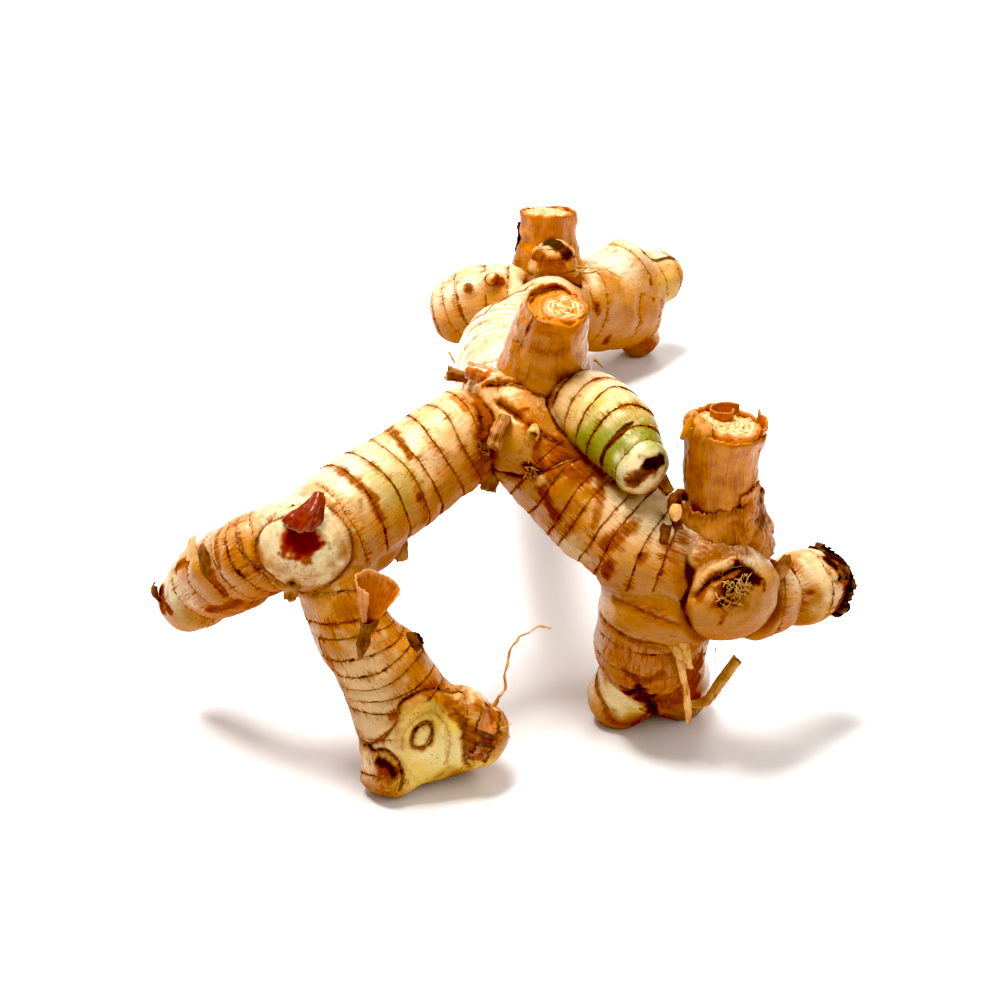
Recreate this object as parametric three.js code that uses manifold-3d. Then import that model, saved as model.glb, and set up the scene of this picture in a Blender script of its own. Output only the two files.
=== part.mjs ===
// Galangal rhizome: one grown body with cut stem stubs, old scales and root stubs. Millimetres, +Z up.
import * as THREE from 'three';
import { mergeVertices } from 'three/addons/utils/BufferGeometryUtils.js';
import Module from 'manifold-3d';

const wasm = await Module();
wasm.setup();

// driving dimensions
const ringPitch = 8; // length of one segment between two leaf scars
const ringLip = 0.35; // how far a segment's end stands out past the next one's start
const ringGap = 0.5; // length over which that step falls
const limbSides = 14;
const stemSides = 18;
const stubSides = 8;
const cupSides = 12;
const seatGap = 0.3; // air between a piece and the socket it sits in
const sheathThickness = 1.1;
const scaleThickness = 0.8;
const hairGap = 0.01; // a cutting solid reaches this far past the end it cuts
const rootletRadius = 0.55;
const stripWidth = 1.7;
const stripThickness = 0.7;
const leafRoll = { radius: 4.2, height: 2, opensAt: 0.2, closesAt: 1.5 * Math.PI, spot: [61, -143.5, 106.6] };
const cup = { height: 14, mouth: 6.2, neck: 4.2, floor: 1.6, squeeze: 0.62, spot: [-36, -178.5, 59] };
const domeShare = 0.75; // depth of a rounded end as a share of its radius
const domeSteps = 3;
const frameSteps = 60;
const centring = new THREE.Vector3(-0.79, 23.42, 0); // brings the middle of the body over the origin

const paint = (color, roughness) => new THREE.MeshStandardMaterial({ color, roughness, metalness: 0 });
const skin = paint(0xe0b478, 0.45);
const stemSkin = paint(0xcf8a3a, 0.5);
const oldSheath = paint(0xc46a22, 0.55);
const redScale = paint(0x6e2418, 0.5);
const driedScale = paint(0x5a3a22, 0.7);
const paleScale = paint(0xd9813a, 0.4);
const rootBrown = paint(0xb07a45, 0.75);
const rootPale = paint(0xd8b27a, 0.65);

// limbs are lists of stations along their middle: x, y, z, then the radius there
const limbs = {
  leftArm: [[2, -121, 92, 13.5], [-8, -122, 90.5, 13.8], [-21, -129, 84.2, 14], [-34, -139, 79, 15.2],
    [-46, -149, 75, 15.8], [-55, -157, 72, 12.8]],
  leftBranch: [[-56, -151, 72, 12], [-67, -151, 67, 12.4], [-77, -145, 57.8, 12.2], [-86, -137, 47.6, 11.2],
    [-93, -131, 39.2, 9.6]],
  leftLeg: [[-50, -153, 69, 10], [-45, -161, 57, 10.8], [-40, -165, 46, 11.4], [-34, -165, 36, 13.2],
    [-28, -166, 24, 14.8], [-22, -167, 14, 13.8]],
  rightArm: [[5, -120, 91, 13.5], [17, -127, 81, 15.4], [29, -134.5, 72.2, 16.2], [42, -142, 64.4, 16.6],
    [54, -147, 60, 15.8], [62, -147, 56, 15]],
  rightBranch: [[66, -149, 52, 12], [74, -146, 49, 10.8], [81, -143, 48, 10.2], [89, -136, 46, 10.2],
    [96, -130, 44, 9.4]],
  rightFoot: [[52, -150, 50, 15], [45.5, -146, 46, 16], [46.5, -143.5, 34, 15.8], [46, -139, 20, 12.5]],
  greenFinger: [[8, -106, 93, 9], [17, -113, 93.5, 10.4], [25, -122, 96.6, 12.2], [33, -134, 96.4, 11.6],
    [39.5, -146, 92, 8.4]],
  spine: [[4, -120, 93, 13.5], [3, -95, 91, 15], [2, -60, 82, 16], [4, -20, 69.5, 15.5], [10, 25, 53.5, 14.5],
    [16.5, 65, 42.5, 14.5], [20, 92, 38, 15]],
  backLeft: [[18, 95, 39, 13], [2, 95, 37, 14], [-10, 96, 34.5, 14], [-17.5, 99, 30, 12.8]],
  backRight: [[18, 88, 39, 15], [30, 100, 33, 17.5], [42, 111, 27, 18.8], [52, 118, 24, 16]],
};

// knobs are short blunt lobes without scars
const knobs = {
  leftFootKnob: [[-29, -168, 16, 11], [-32, -175.5, 6.3, 8.4]],
  leftFootHeel: [[-13, -167, 18, 12], [-5, -166, 14, 9.8]],
  leftFootSole: [[-24, -166, 12, 12.2], [-11.5, -161, 9.6, 10.8]],
  rightFootKnob: [[43, -141, 20, 12], [36.5, -136, 7.5, 10.2]],
  rightFootHeel: [[50, -139, 20, 12], [53.5, -131, 7.4, 10.6]],
  rightNode: [[62, -146, 55, 15], [64.6, -156.5, 57, 14.4]],
  leftBud: [[-52, -150, 74, 13.5], [-55, -160.5, 73.5, 12.6]],
  armHeel: [[-40, -146, 73, 12], [-35, -147, 66, 9]],
  junctionFront: [[5, -118, 92, 13.5], [7.5, -128, 89, 12]],
  nodeKnob: [[71, -141, 62, 6], [75.5, -139, 68.5, 5]],
  stemSeat: [[11, -108, 90, 14], [12.5, -109, 97, 11]],
  backRise: [[44, 112, 35, 14], [51, 118, 40, 12.5]],
  backKnob: [[54, 120, 31, 12], [65, 128, 30.5, 9]],
  backFoot: [[53, 122, 14, 9], [57.5, 123.5, 5.4, 7.4]],
  backBud: [[20, 91, 45, 9.2], [20, 89.5, 56.5, 8.8]],
  backWartLeft: [[-12, 90, 42, 4], [-12.5, 85, 45.5, 3.4]],
  backWartRight: [[-3, 90, 45, 4], [-3, 85, 49, 3.6]],
};

// cut stems, and stubs of dead roots: stations of blunt pegs that sit in sockets of the body
const stems = {
  stem_back: [[18.4, 101, 46, 12.4], [18.2, 101, 54, 11.4], [18.2, 101.5, 62, 10.4], [18.2, 102, 70.5, 10.4]],
  stem_middle: [[12.5, -108, 98, 14.6], [12.8, -109, 104, 12.8], [13.4, -110.5, 111, 11.2],
    [14.6, -113, 119, 9.8], [16.4, -117.5, 128, 8.2]],
  stem_right: [[64.4, -142.5, 61, 11.8], [64.2, -142.5, 70, 11.2], [63, -143, 82, 10],
    [62.2, -143.5, 94, 9.8], [62.8, -145, 105.5, 10.5]],
};
const rootStubs = {
  root_woody: [[4, -128, 101, 1.9], [-1, -136, 97, 2], [-3, -141, 92.5, 2]],
  root_cone: [[10, -128, 98, 2.4], [9.4, -135.5, 96.5, 1.3]],
  root_square: [[-1.5, -126, 82, 2.6], [-3.5, -129.5, 75, 2.6]],
  root_ball: [[-10, -104, 99, 1.6], [-15.5, -104.5, 100.8, 2.3]],
  root_ring: [[-3, -110, 101, 2.4], [-9.5, -110, 104.6, 2.1]],
  root_arm: [[-29, -141, 68, 2.4], [-28.6, -140.5, 58.5, 2]],
  root_green: [[44, -144, 89, 2.4], [47.6, -148, 84.5, 2]],
  root_hollow: [[-57, -163, 66.5, 1.7], [-58.6, -168.6, 62, 1.5]],
  root_leg: [[-30, -165, 44.5, 1.7], [-24.4, -167.2, 47.4, 1.5]],
  root_stick: [[55, -147, 12, 1.3], [61, -148, 13.5, 1.4], [69.8, -148, 28.5, 1.6]],
};

// dried scales, each a thin blunt cone that stands on the body: base and tip as stations
const scales = {
  bud_scale: { stations: [[-56, -159.5, 78, 5.4], [-54.5, -162.5, 84, 4.6], [-49.4, -161.5, 91, 0.7]],
    material: redScale },
  scale_flap: { stations: [[-80, -148, 64.5, 2.6], [-86, -152, 69.5, 1]], material: driedScale },
  tip_scrap: { stations: [[-97, -134, 42, 1.6], [-101.8, -136.5, 46, 0.9]], material: driedScale },
  scale_curl: { stations: [[50.5, -148, 73, 2.8], [51, -148.5, 80, 2.4], [52.6, -149, 84.5, 1]],
    material: driedScale },
  scale_ear: { stations: [[77, -149, 57, 2.2], [82, -147, 62.5, 1.1]], material: rootBrown },
};

// one closed geometry from a lathe profile along +Y, bent so that it follows the stations
function bentLathe(stations, profileOf, sides) {
  const spots = stations.map(([x, y, z]) => new THREE.Vector3(x, y, z));
  const path = new THREE.CatmullRomCurve3(spots, false, 'centripetal');
  const length = path.getLength();
  const frames = path.computeFrenetFrames(frameSteps, false);
  const geometry = new THREE.LatheGeometry(profileOf(length), sides);
  const corners = geometry.attributes.position;
  const corner = new THREE.Vector3();
  for (let i = 0; i < corners.count; i += 1) {
    corner.fromBufferAttribute(corners, i);
    const share = THREE.MathUtils.clamp(corner.y / length, 0, 1);
    const slot = Math.min(Math.floor(share * frameSteps), frameSteps - 1);
    const tangent = path.getTangentAt(share);
    const side = frames.normals[slot].clone().lerp(frames.normals[slot + 1], share * frameSteps - slot);
    const up = new THREE.Vector3().crossVectors(tangent, side).normalize();
    side.crossVectors(up, tangent);
    const spot = path.getPointAt(share).addScaledVector(tangent, corner.y - share * length);
    spot.addScaledVector(side, corner.x).addScaledVector(up, corner.z);
    corners.setXYZ(i, spot.x, spot.y, spot.z);
  }
  return geometry;
}

// each station's share of the way along the stations
function marksOf(stations) {
  const spots = stations.map(([x, y, z]) => new THREE.Vector3(x, y, z));
  const marks = [0];
  for (let i = 1; i < spots.length; i += 1) marks.push(marks[i - 1] + spots[i].distanceTo(spots[i - 1]));
  return marks.map((mark) => mark / marks[marks.length - 1]);
}

// the radius at a share of the length along the stations
function radiusAlong(stations) {
  const marks = marksOf(stations);
  return (share) => {
    let i = 1;
    while (i < marks.length - 1 && share > marks[i]) i += 1;
    const blend = THREE.MathUtils.smoothstep(share, marks[i - 1], marks[i]);
    return THREE.MathUtils.lerp(stations[i - 1][3], stations[i][3], blend);
  };
}

// profile points of a rounded end, from the axis out to the radius
function dome(radius) {
  const points = [new THREE.Vector2(0, -radius * domeShare)];
  for (let i = 1; i <= domeSteps; i += 1) {
    const turn = (i / domeSteps) * Math.PI / 2;
    points.push(new THREE.Vector2(radius * Math.sin(turn), -radius * domeShare * Math.cos(turn)));
  }
  return points;
}

// a dome, a step at each leaf scar, then a dome
function ringedProfile(stations, ringCount) {
  const radius = radiusAlong(stations);
  return (length) => {
    const count = ringCount ?? Math.round(length / ringPitch);
    const step = length / count;
    const points = dome(radius(0));
    for (let i = 1; i < count; i += 1) {
      const end = i * step - ringGap / 2;
      const start = i * step + ringGap / 2;
      points.push(new THREE.Vector2(radius(end / length) + ringLip, end));
      points.push(new THREE.Vector2(radius(start / length) - ringLip, start));
    }
    dome(radius(1)).reverse().forEach((point) => points.push(new THREE.Vector2(point.x, length - point.y)));
    return points;
  };
}

// straight cut ends, with a profile point at each station; grown all round by an amount
function peg(stations, sides, grown = 0) {
  const profileOf = (length) => {
    const heights = marksOf(stations).map((mark) => mark * length);
    heights[0] -= grown;
    heights[heights.length - 1] += grown;
    const points = stations.map((station, i) => new THREE.Vector2(station[3] + grown, heights[i]));
    points.unshift(new THREE.Vector2(0, heights[0]));
    points.push(new THREE.Vector2(0, heights[heights.length - 1]));
    return points;
  };
  return solid(bentLathe(stations, profileOf, sides));
}

// a three.js geometry as a manifold solid
function solid(geometry) {
  geometry.deleteAttribute('normal');
  geometry.deleteAttribute('uv');
  const plain = mergeVertices(geometry);
  const index = plain.index.array;
  const corners = [];
  for (let i = 0; i < index.length; i += 3) {
    const [a, b, c] = index.slice(i, i + 3);
    if (a !== b && b !== c && c !== a) corners.push(a, b, c);
  }
  const body = solidOf(plain, corners);
  return body.volume() > 0 ? body : solidOf(plain, corners.reverse());
}

function solidOf(geometry, corners) {
  return new wasm.Manifold(new wasm.Mesh({
    numProp: 3,
    vertProperties: new Float32Array(geometry.attributes.position.array),
    triVerts: new Uint32Array(corners),
  }));
}

// a manifold solid as a named mesh
function meshOf(name, body, material) {
  const { vertProperties, triVerts } = body.getMesh();
  const geometry = new THREE.BufferGeometry();
  geometry.setAttribute('position', new THREE.BufferAttribute(Float32Array.from(vertProperties), 3));
  geometry.setIndex(Array.from(triVerts));
  geometry.computeVertexNormals();
  const mesh = new THREE.Mesh(geometry, material);
  mesh.name = name;
  return mesh;
}

function box(width, depth, height, x, y, z, turn = [0, 0, 0]) {
  const geometry = new THREE.BoxGeometry(width, depth, height);
  geometry.applyMatrix4(new THREE.Matrix4().makeRotationFromEuler(new THREE.Euler(...turn)));
  geometry.translate(x, y, z);
  return solid(geometry);
}

// a tube or strip of a closed section along hand-placed points
function strand(points, section, steps) {
  const path = new THREE.CatmullRomCurve3(points.map((point) => new THREE.Vector3(...point)));
  return solid(new THREE.ExtrudeGeometry(section, { steps, bevelEnabled: false, extrudePath: path }));
}

function roundSection(radius, sides) {
  const shape = new THREE.Shape();
  for (let i = 0; i < sides; i += 1) {
    const turn = (i / sides) * 2 * Math.PI;
    const point = [radius * Math.cos(turn), radius * Math.sin(turn)];
    if (i === 0) shape.moveTo(...point);
    else shape.lineTo(...point);
  }
  shape.closePath();
  return shape;
}

function flatSection(width, thickness) {
  const shape = new THREE.Shape();
  shape.moveTo(-width / 2, -thickness / 2);
  shape.lineTo(width / 2, -thickness / 2);
  shape.lineTo(width / 2, thickness / 2);
  shape.lineTo(-width / 2, thickness / 2);
  shape.closePath();
  return shape;
}

// a tube that hugs a stem: hollow along its own stations, and clear of the stem by the seat gap
function sheathAround(stations, stem) {
  const outer = stations.map(([x, y, z, r]) => [x, y, z, r + sheathThickness]);
  const bore = peg(stations, stemSides, hairGap);
  return peg(outer, stemSides).subtract(bore).subtract(peg(stem, stemSides, seatGap));
}

// the older sheath behind the middle stem, torn down to a point at its sides
function middleSheath() {
  const around = [[14, -111.8, 115, 10.8], [16.4, -117.5, 128, 8.5], [17.4, -119.9, 133.5, 8.2]];
  const frontHalf = box(60, 40, 60, 22, -134, 124, [-0.35, 0, 0.4]);
  return sheathAround(around, stems.stem_middle).subtract(frontHalf);
}

// the strip of old sheath at the front right of the right stem's foot
function rightSheath() {
  const around = [[64.1, -142.5, 71.2, 11.5], [63, -143, 83, 10.2]];
  const wedge = box(8, 14, 20, 70.5, -151, 76, [0, 0, 0.55]);
  return sheathAround(around, stems.stem_right).intersect(wedge);
}

// a rolled young leaf that stands on the right stem's cut
function rolledLeaf() {
  const { radius, height, opensAt, closesAt, spot } = leafRoll;
  const roll = new THREE.Shape();
  roll.absarc(0, 0, radius, opensAt, closesAt, false);
  roll.absarc(0, 0, radius - sheathThickness, closesAt, opensAt, true);
  roll.closePath();
  const geometry = new THREE.ExtrudeGeometry(roll, { depth: height, bevelEnabled: false, curveSegments: 10 });
  geometry.translate(spot[0], spot[1], spot[2] + seatGap);
  return solid(geometry);
}

// the papery cup: a thin cone open at its mouth, with a dried tail below the pinch
function paperCup() {
  const { height, mouth, neck, floor, squeeze, spot } = cup;
  const wall = [[0, 0], [floor, floor / 4], [neck, height / 2], [mouth, height],
    [mouth - scaleThickness, height], [neck - scaleThickness, height / 2], [0, floor]];
  const cone = new THREE.LatheGeometry(wall.map(([r, y]) => new THREE.Vector2(r, y)), cupSides);
  cone.scale(1, 1, squeeze);
  cone.applyMatrix4(new THREE.Matrix4().makeRotationFromEuler(new THREE.Euler(1.25, 0, -0.3, 'ZXY')));
  cone.translate(...spot);
  const tail = [[-36, -178.7, 60.5, 1.5], [-38.2, -179.6, 54.5, 1.9], [-39, -180.6, 50, 0.9]];
  return solid(cone).add(peg(tail, stubSides));
}

const object = new THREE.Group();
object.position.copy(centring);

let rhizome = null;
for (const stations of Object.values(limbs)) {
  const limb = solid(bentLathe(stations, ringedProfile(stations), limbSides));
  rhizome = rhizome ? rhizome.add(limb) : limb;
}
for (const stations of Object.values(knobs)) {
  rhizome = rhizome.add(solid(bentLathe(stations, ringedProfile(stations, 1), limbSides)));
}
const underGround = box(400, 500, 60, 0, 0, -30);
rhizome = rhizome.subtract(underGround);

for (const [name, stations] of Object.entries(stems)) {
  rhizome = rhizome.subtract(peg(stations, stemSides, seatGap));
  object.add(meshOf(name, peg(stations, stemSides), stemSkin));
}
for (const [name, stations] of Object.entries(rootStubs)) {
  rhizome = rhizome.subtract(peg(stations, stubSides, seatGap));
  object.add(meshOf(name, peg(stations, stubSides), rootBrown));
}
for (const [name, { stations, material }] of Object.entries(scales)) {
  rhizome = rhizome.subtract(peg(stations, stubSides, seatGap));
  object.add(meshOf(name, peg(stations, stubSides), material));
}

// thin things that hang off the body, each rooted in a socket of its own
const rootletPoints = [[-4, -164, 18], [-1.2, -164.5, 24.5], [1.1, -165, 28.8], [1.8, -165, 35],
  [2.6, -165, 41], [4, -165, 45.2], [7.6, -165, 48.8], [10.8, -165, 50.1], [14.4, -165, 49.8]];
const stripPoints = [[50, -160, 41.5], [51, -163, 38], [53, -162.5, 31], [54.6, -159.5, 21],
  [55.6, -155.5, 11]];
const strandSteps = 24;
const stripSocket = flatSection(stripWidth + 2 * seatGap, stripThickness + 2 * seatGap);
const rootletSocket = roundSection(rootletRadius + seatGap, stubSides);
rhizome = rhizome.subtract(strand(rootletPoints, rootletSocket, strandSteps));
rhizome = rhizome.subtract(strand(stripPoints, stripSocket, strandSteps));
const rootlet = strand(rootletPoints, roundSection(rootletRadius, stubSides), strandSteps);
const strip = strand(stripPoints, flatSection(stripWidth, stripThickness), strandSteps);
object.add(meshOf('rootlet_long', rootlet, rootPale));
object.add(meshOf('root_strip', strip, rootPale));

object.add(meshOf('sheath_middle', middleSheath(), oldSheath));
object.add(meshOf('sheath_right', rightSheath(), oldSheath));
object.add(meshOf('leaf_rolled', rolledLeaf(), oldSheath));
object.add(meshOf('scale_cup', paperCup(), paleScale));
object.add(meshOf('rhizome', rhizome, skin));

export default object;
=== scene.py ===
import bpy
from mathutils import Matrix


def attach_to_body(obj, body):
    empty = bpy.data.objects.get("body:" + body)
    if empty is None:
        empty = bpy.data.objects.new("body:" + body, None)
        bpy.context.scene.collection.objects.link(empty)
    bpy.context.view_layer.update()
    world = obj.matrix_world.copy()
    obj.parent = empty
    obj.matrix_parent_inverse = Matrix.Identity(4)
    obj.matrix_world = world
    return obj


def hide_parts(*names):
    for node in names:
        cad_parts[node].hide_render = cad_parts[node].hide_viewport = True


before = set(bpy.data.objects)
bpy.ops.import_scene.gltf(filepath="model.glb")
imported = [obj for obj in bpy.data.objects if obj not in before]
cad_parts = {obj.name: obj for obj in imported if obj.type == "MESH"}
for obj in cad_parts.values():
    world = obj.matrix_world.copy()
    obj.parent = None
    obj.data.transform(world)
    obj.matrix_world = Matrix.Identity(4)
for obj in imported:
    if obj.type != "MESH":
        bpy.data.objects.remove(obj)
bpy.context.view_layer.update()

import math
import random

import bpy
import numpy as np
from mathutils import Vector
from mathutils.bvhtree import BVHTree

mm = 0.001
shift = np.array([-0.79, 23.42, 0.0])  # the part's own centring, in millimetres
domeDepth = 0.75  # depth of a limb's rounded end, as a share of its radius
domeArc = 0.87  # length over that end per radian, as a share of its radius
domeAngles = (12, 28, 44, 60, 75)  # where the rows of corners of a rounded end lie, in degrees
front = np.array([0, -0.87, 0.5])  # angle 0 of every limb looks this way
random.seed(7)

# camera, light and floor
shot = dict(pitch=29, reach=790, sensor=36, lens=79.2)  # degrees, then millimetres
sky = dict(color=(1, 0.985, 0.96, 1), strength=0.36)
table = dict(size=12, color=(0.93, 0.925, 0.915, 1), rough=0.9)
blackLevel = (0.023, 0.023, 0.031)
lampAim = (0, 0, 0.05)
lamps = {  # place, size, power and colour
    "keyLight": ((-0.25, 0.1, 1.3), 0.55, 26, (1, 0.992, 0.98)),
    "smallLight": ((-0.3, -0.22, 1.2), 0.13, 4.5, (1, 0.992, 0.98)),
    "backLight": ((0.25, 1.1, 0.9), 0.6, 7, (1, 0.99, 0.98)),
    "fillLight": ((0.8, -0.6, 0.85), 0.9, 5, (1, 0.992, 0.98)),
}


def makeStage():
    camera = bpy.data.objects.new("camera", bpy.data.cameras.new("camera"))
    bpy.context.scene.collection.objects.link(camera)
    pitch = math.radians(shot["pitch"])
    reach = shot["reach"] * mm
    target = Vector(shift * mm)
    camera.location = target + Vector((0, -reach * math.cos(pitch), reach * math.sin(pitch)))
    camera.rotation_euler = (math.pi / 2 - pitch, 0, 0)
    camera.data.sensor_width = shot["sensor"]
    camera.data.lens = shot["lens"]
    camera.data.clip_start = 0.01
    camera.data.clip_end = 50
    bpy.context.scene.camera = camera

    bpy.ops.mesh.primitive_plane_add(size=table["size"])
    floor = bpy.context.object
    floor.name = "floor"

    world = bpy.data.worlds.new("studio")
    bpy.context.scene.world = world
    world.use_nodes = True
    background = world.node_tree.nodes["Background"]
    background.inputs["Color"].default_value = sky["color"]
    background.inputs["Strength"].default_value = sky["strength"]
    for name, (place, size, power, color) in lamps.items():
        data = bpy.data.lights.new(name, "AREA")
        data.size = size
        data.energy = power
        data.color = color
        light = bpy.data.objects.new(name, data)
        light.location = place
        light.rotation_euler = (Vector(lampAim) - Vector(place)).to_track_quat("-Z", "Y").to_euler()
        bpy.context.scene.collection.objects.link(light)
    view = bpy.context.scene.view_settings
    view.view_transform = "Standard"
    view.use_curve_mapping = True
    view.curve_mapping.black_level = blackLevel
    view.curve_mapping.update()
    return floor


class Socket:
    # a shader output that takes operators

    def __init__(self, graph, out):
        self.graph = graph
        self.out = out

    def __add__(self, other): return self.graph.math("ADD", self, other)
    def __radd__(self, other): return self.graph.math("ADD", other, self)
    def __sub__(self, other): return self.graph.math("SUBTRACT", self, other)
    def __rsub__(self, other): return self.graph.math("SUBTRACT", other, self)
    def __mul__(self, other): return self.graph.math("MULTIPLY", self, other)
    def __rmul__(self, other): return self.graph.math("MULTIPLY", other, self)
    def __truediv__(self, other): return self.graph.math("DIVIDE", self, other)
    def __rtruediv__(self, other): return self.graph.math("DIVIDE", other, self)
    def __pow__(self, other): return self.graph.math("POWER", self, other)


class Graph:
    def __init__(self, name):
        self.material = bpy.data.materials.new(name)
        self.material.use_nodes = True
        self.tree = self.material.node_tree
        self.shader = self.tree.nodes["Principled BSDF"]

    def node(self, kind, settings=None, sockets=None, out=0):
        made = self.tree.nodes.new(kind)
        for key, value in (settings or {}).items():
            setattr(made, key, value)
        for key, value in (sockets or {}).items():
            if value is None:
                continue
            target = made.inputs[key]
            if isinstance(value, Socket):
                self.tree.links.new(value.out, target)
            else:
                target.default_value = value
        return Socket(self, made.outputs[out])

    def math(self, operation, a, b=None):
        return self.node("ShaderNodeMath", {"operation": operation}, {0: a, 1: b})

    def ramp(self, value, low, high):
        # a smooth step from 0 at low to 1 at high
        settings = {"interpolation_type": "SMOOTHSTEP", "clamp": True}
        return self.node("ShaderNodeMapRange", settings, {0: value, 1: low, 2: high, 3: 0.0, 4: 1.0})

    def fract(self, value): return self.math("FRACT", value)
    def floor(self, value): return self.math("FLOOR", value)
    def absolute(self, value): return self.math("ABSOLUTE", value)
    def least(self, a, b): return self.math("MINIMUM", a, b)
    def most(self, a, b): return self.math("MAXIMUM", a, b)

    def clamp(self, value):
        return self.node("ShaderNodeClamp", {}, {0: value})

    def mix(self, factor, a, b):
        settings = {"data_type": "RGBA", "blend_type": "MIX", "clamp_factor": True}
        return self.node("ShaderNodeMix", settings, {0: factor, 6: a, 7: b}, out=2)

    def lay(self, factor, *rgb):
        # one more layer of paint over the colour so far
        self.color = self.mix(factor, self.color, paint(*rgb))

    def attribute(self, name, out=2):
        return self.node("ShaderNodeAttribute", {"attribute_name": name}, out=out)

    def place(self):
        return self.node("ShaderNodeTexCoord", out=3)

    def scaled(self, vector, factors):
        return self.node("ShaderNodeVectorMath", {"operation": "MULTIPLY"}, {0: vector, 1: factors})

    def added(self, vector, offset):
        return self.node("ShaderNodeVectorMath", {"operation": "ADD"}, {0: vector, 1: offset})

    def split(self, vector):
        parts = self.node("ShaderNodeSeparateXYZ", {}, {0: vector})
        outs = parts.out.node.outputs
        return [Socket(self, outs[k]) for k in range(3)]

    def noise(self, vector, scale, detail, roughness):
        sockets = {"Vector": vector, "Scale": scale, "Detail": detail, "Roughness": roughness}
        return self.node("ShaderNodeTexNoise", {}, sockets)

    def fibres(self, local, factors, detail, roughness):
        # noise drawn out along a limb
        return self.noise(self.scaled(local, factors), 1.0, detail, roughness)

    def random(self, value):
        return self.node("ShaderNodeTexWhiteNoise", {"noise_dimensions": "1D"}, {"W": value})

    def bump(self, height, strength, distance):
        return self.node("ShaderNodeBump", {}, {"Height": height, "Strength": strength, "Distance": distance})

    def matt(self, share, color, normal):
        # a share of the surface without any gloss
        sockets = {"Base Color": color, "Roughness": 0.9, "Normal": normal, "Specular IOR Level": 0.0}
        flat = self.node("ShaderNodeBsdfPrincipled", {}, sockets)
        both = self.node("ShaderNodeMixShader", {}, {0: share, 1: Socket(self, self.shader.outputs[0]), 2: flat})
        self.tree.links.new(both.out, self.tree.nodes["Material Output"].inputs["Surface"])

    def set(self, **values):
        for name, value in values.items():
            target = self.shader.inputs[name.replace("_", " ")]
            if isinstance(value, Socket):
                self.tree.links.new(value.out, target)
            else:
                target.default_value = value
        return self.material


def paint(red, green, blue):
    # a colour in steps of 255, as the shader takes it
    return tuple(((c / 255 + 0.055) / 1.055) ** 2.4 for c in (red, green, blue)) + (1.0,)


def smooth(low, high, value):
    t = np.clip((value - low) / (high - low), 0, 1)
    return t * t * (3 - 2 * t)


def centreLine(points, step=1.0):
    # a smooth line through the points in even steps, and the distance along it
    p = np.array(points, float)
    p = np.vstack([2 * p[0] - p[1], p, 2 * p[-1] - p[-2]])
    fine = []
    for i in range(1, len(p) - 2):
        a, b, c, d = p[i - 1:i + 3]
        ta, tb, tc = (max(np.linalg.norm(y - x), 1e-6) ** 0.5 for x, y in ((a, b), (b, c), (c, d)))
        m = ((b - a) / ta - (c - a) / (ta + tb) + (c - b) / tb) * tb
        n = ((c - b) / tb - (d - b) / (tb + tc) + (d - c) / tc) * tb
        t = np.linspace(0, 1, 60, endpoint=False)[:, None]
        fine.append(b + m * t + (-3 * b + 3 * c - 2 * m - n) * t ** 2 + (2 * b - 2 * c + m + n) * t ** 3)
    fine = np.vstack(fine + [p[-2:-1]])
    run = np.concatenate([[0], np.cumsum(np.linalg.norm(np.diff(fine, axis=0), axis=1))])
    count = max(2, int(round(run[-1] / step)) + 1)
    marks = np.linspace(0, run[-1], count)
    return np.column_stack([np.interp(marks, run, fine[:, k]) for k in range(3)]), marks


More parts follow.
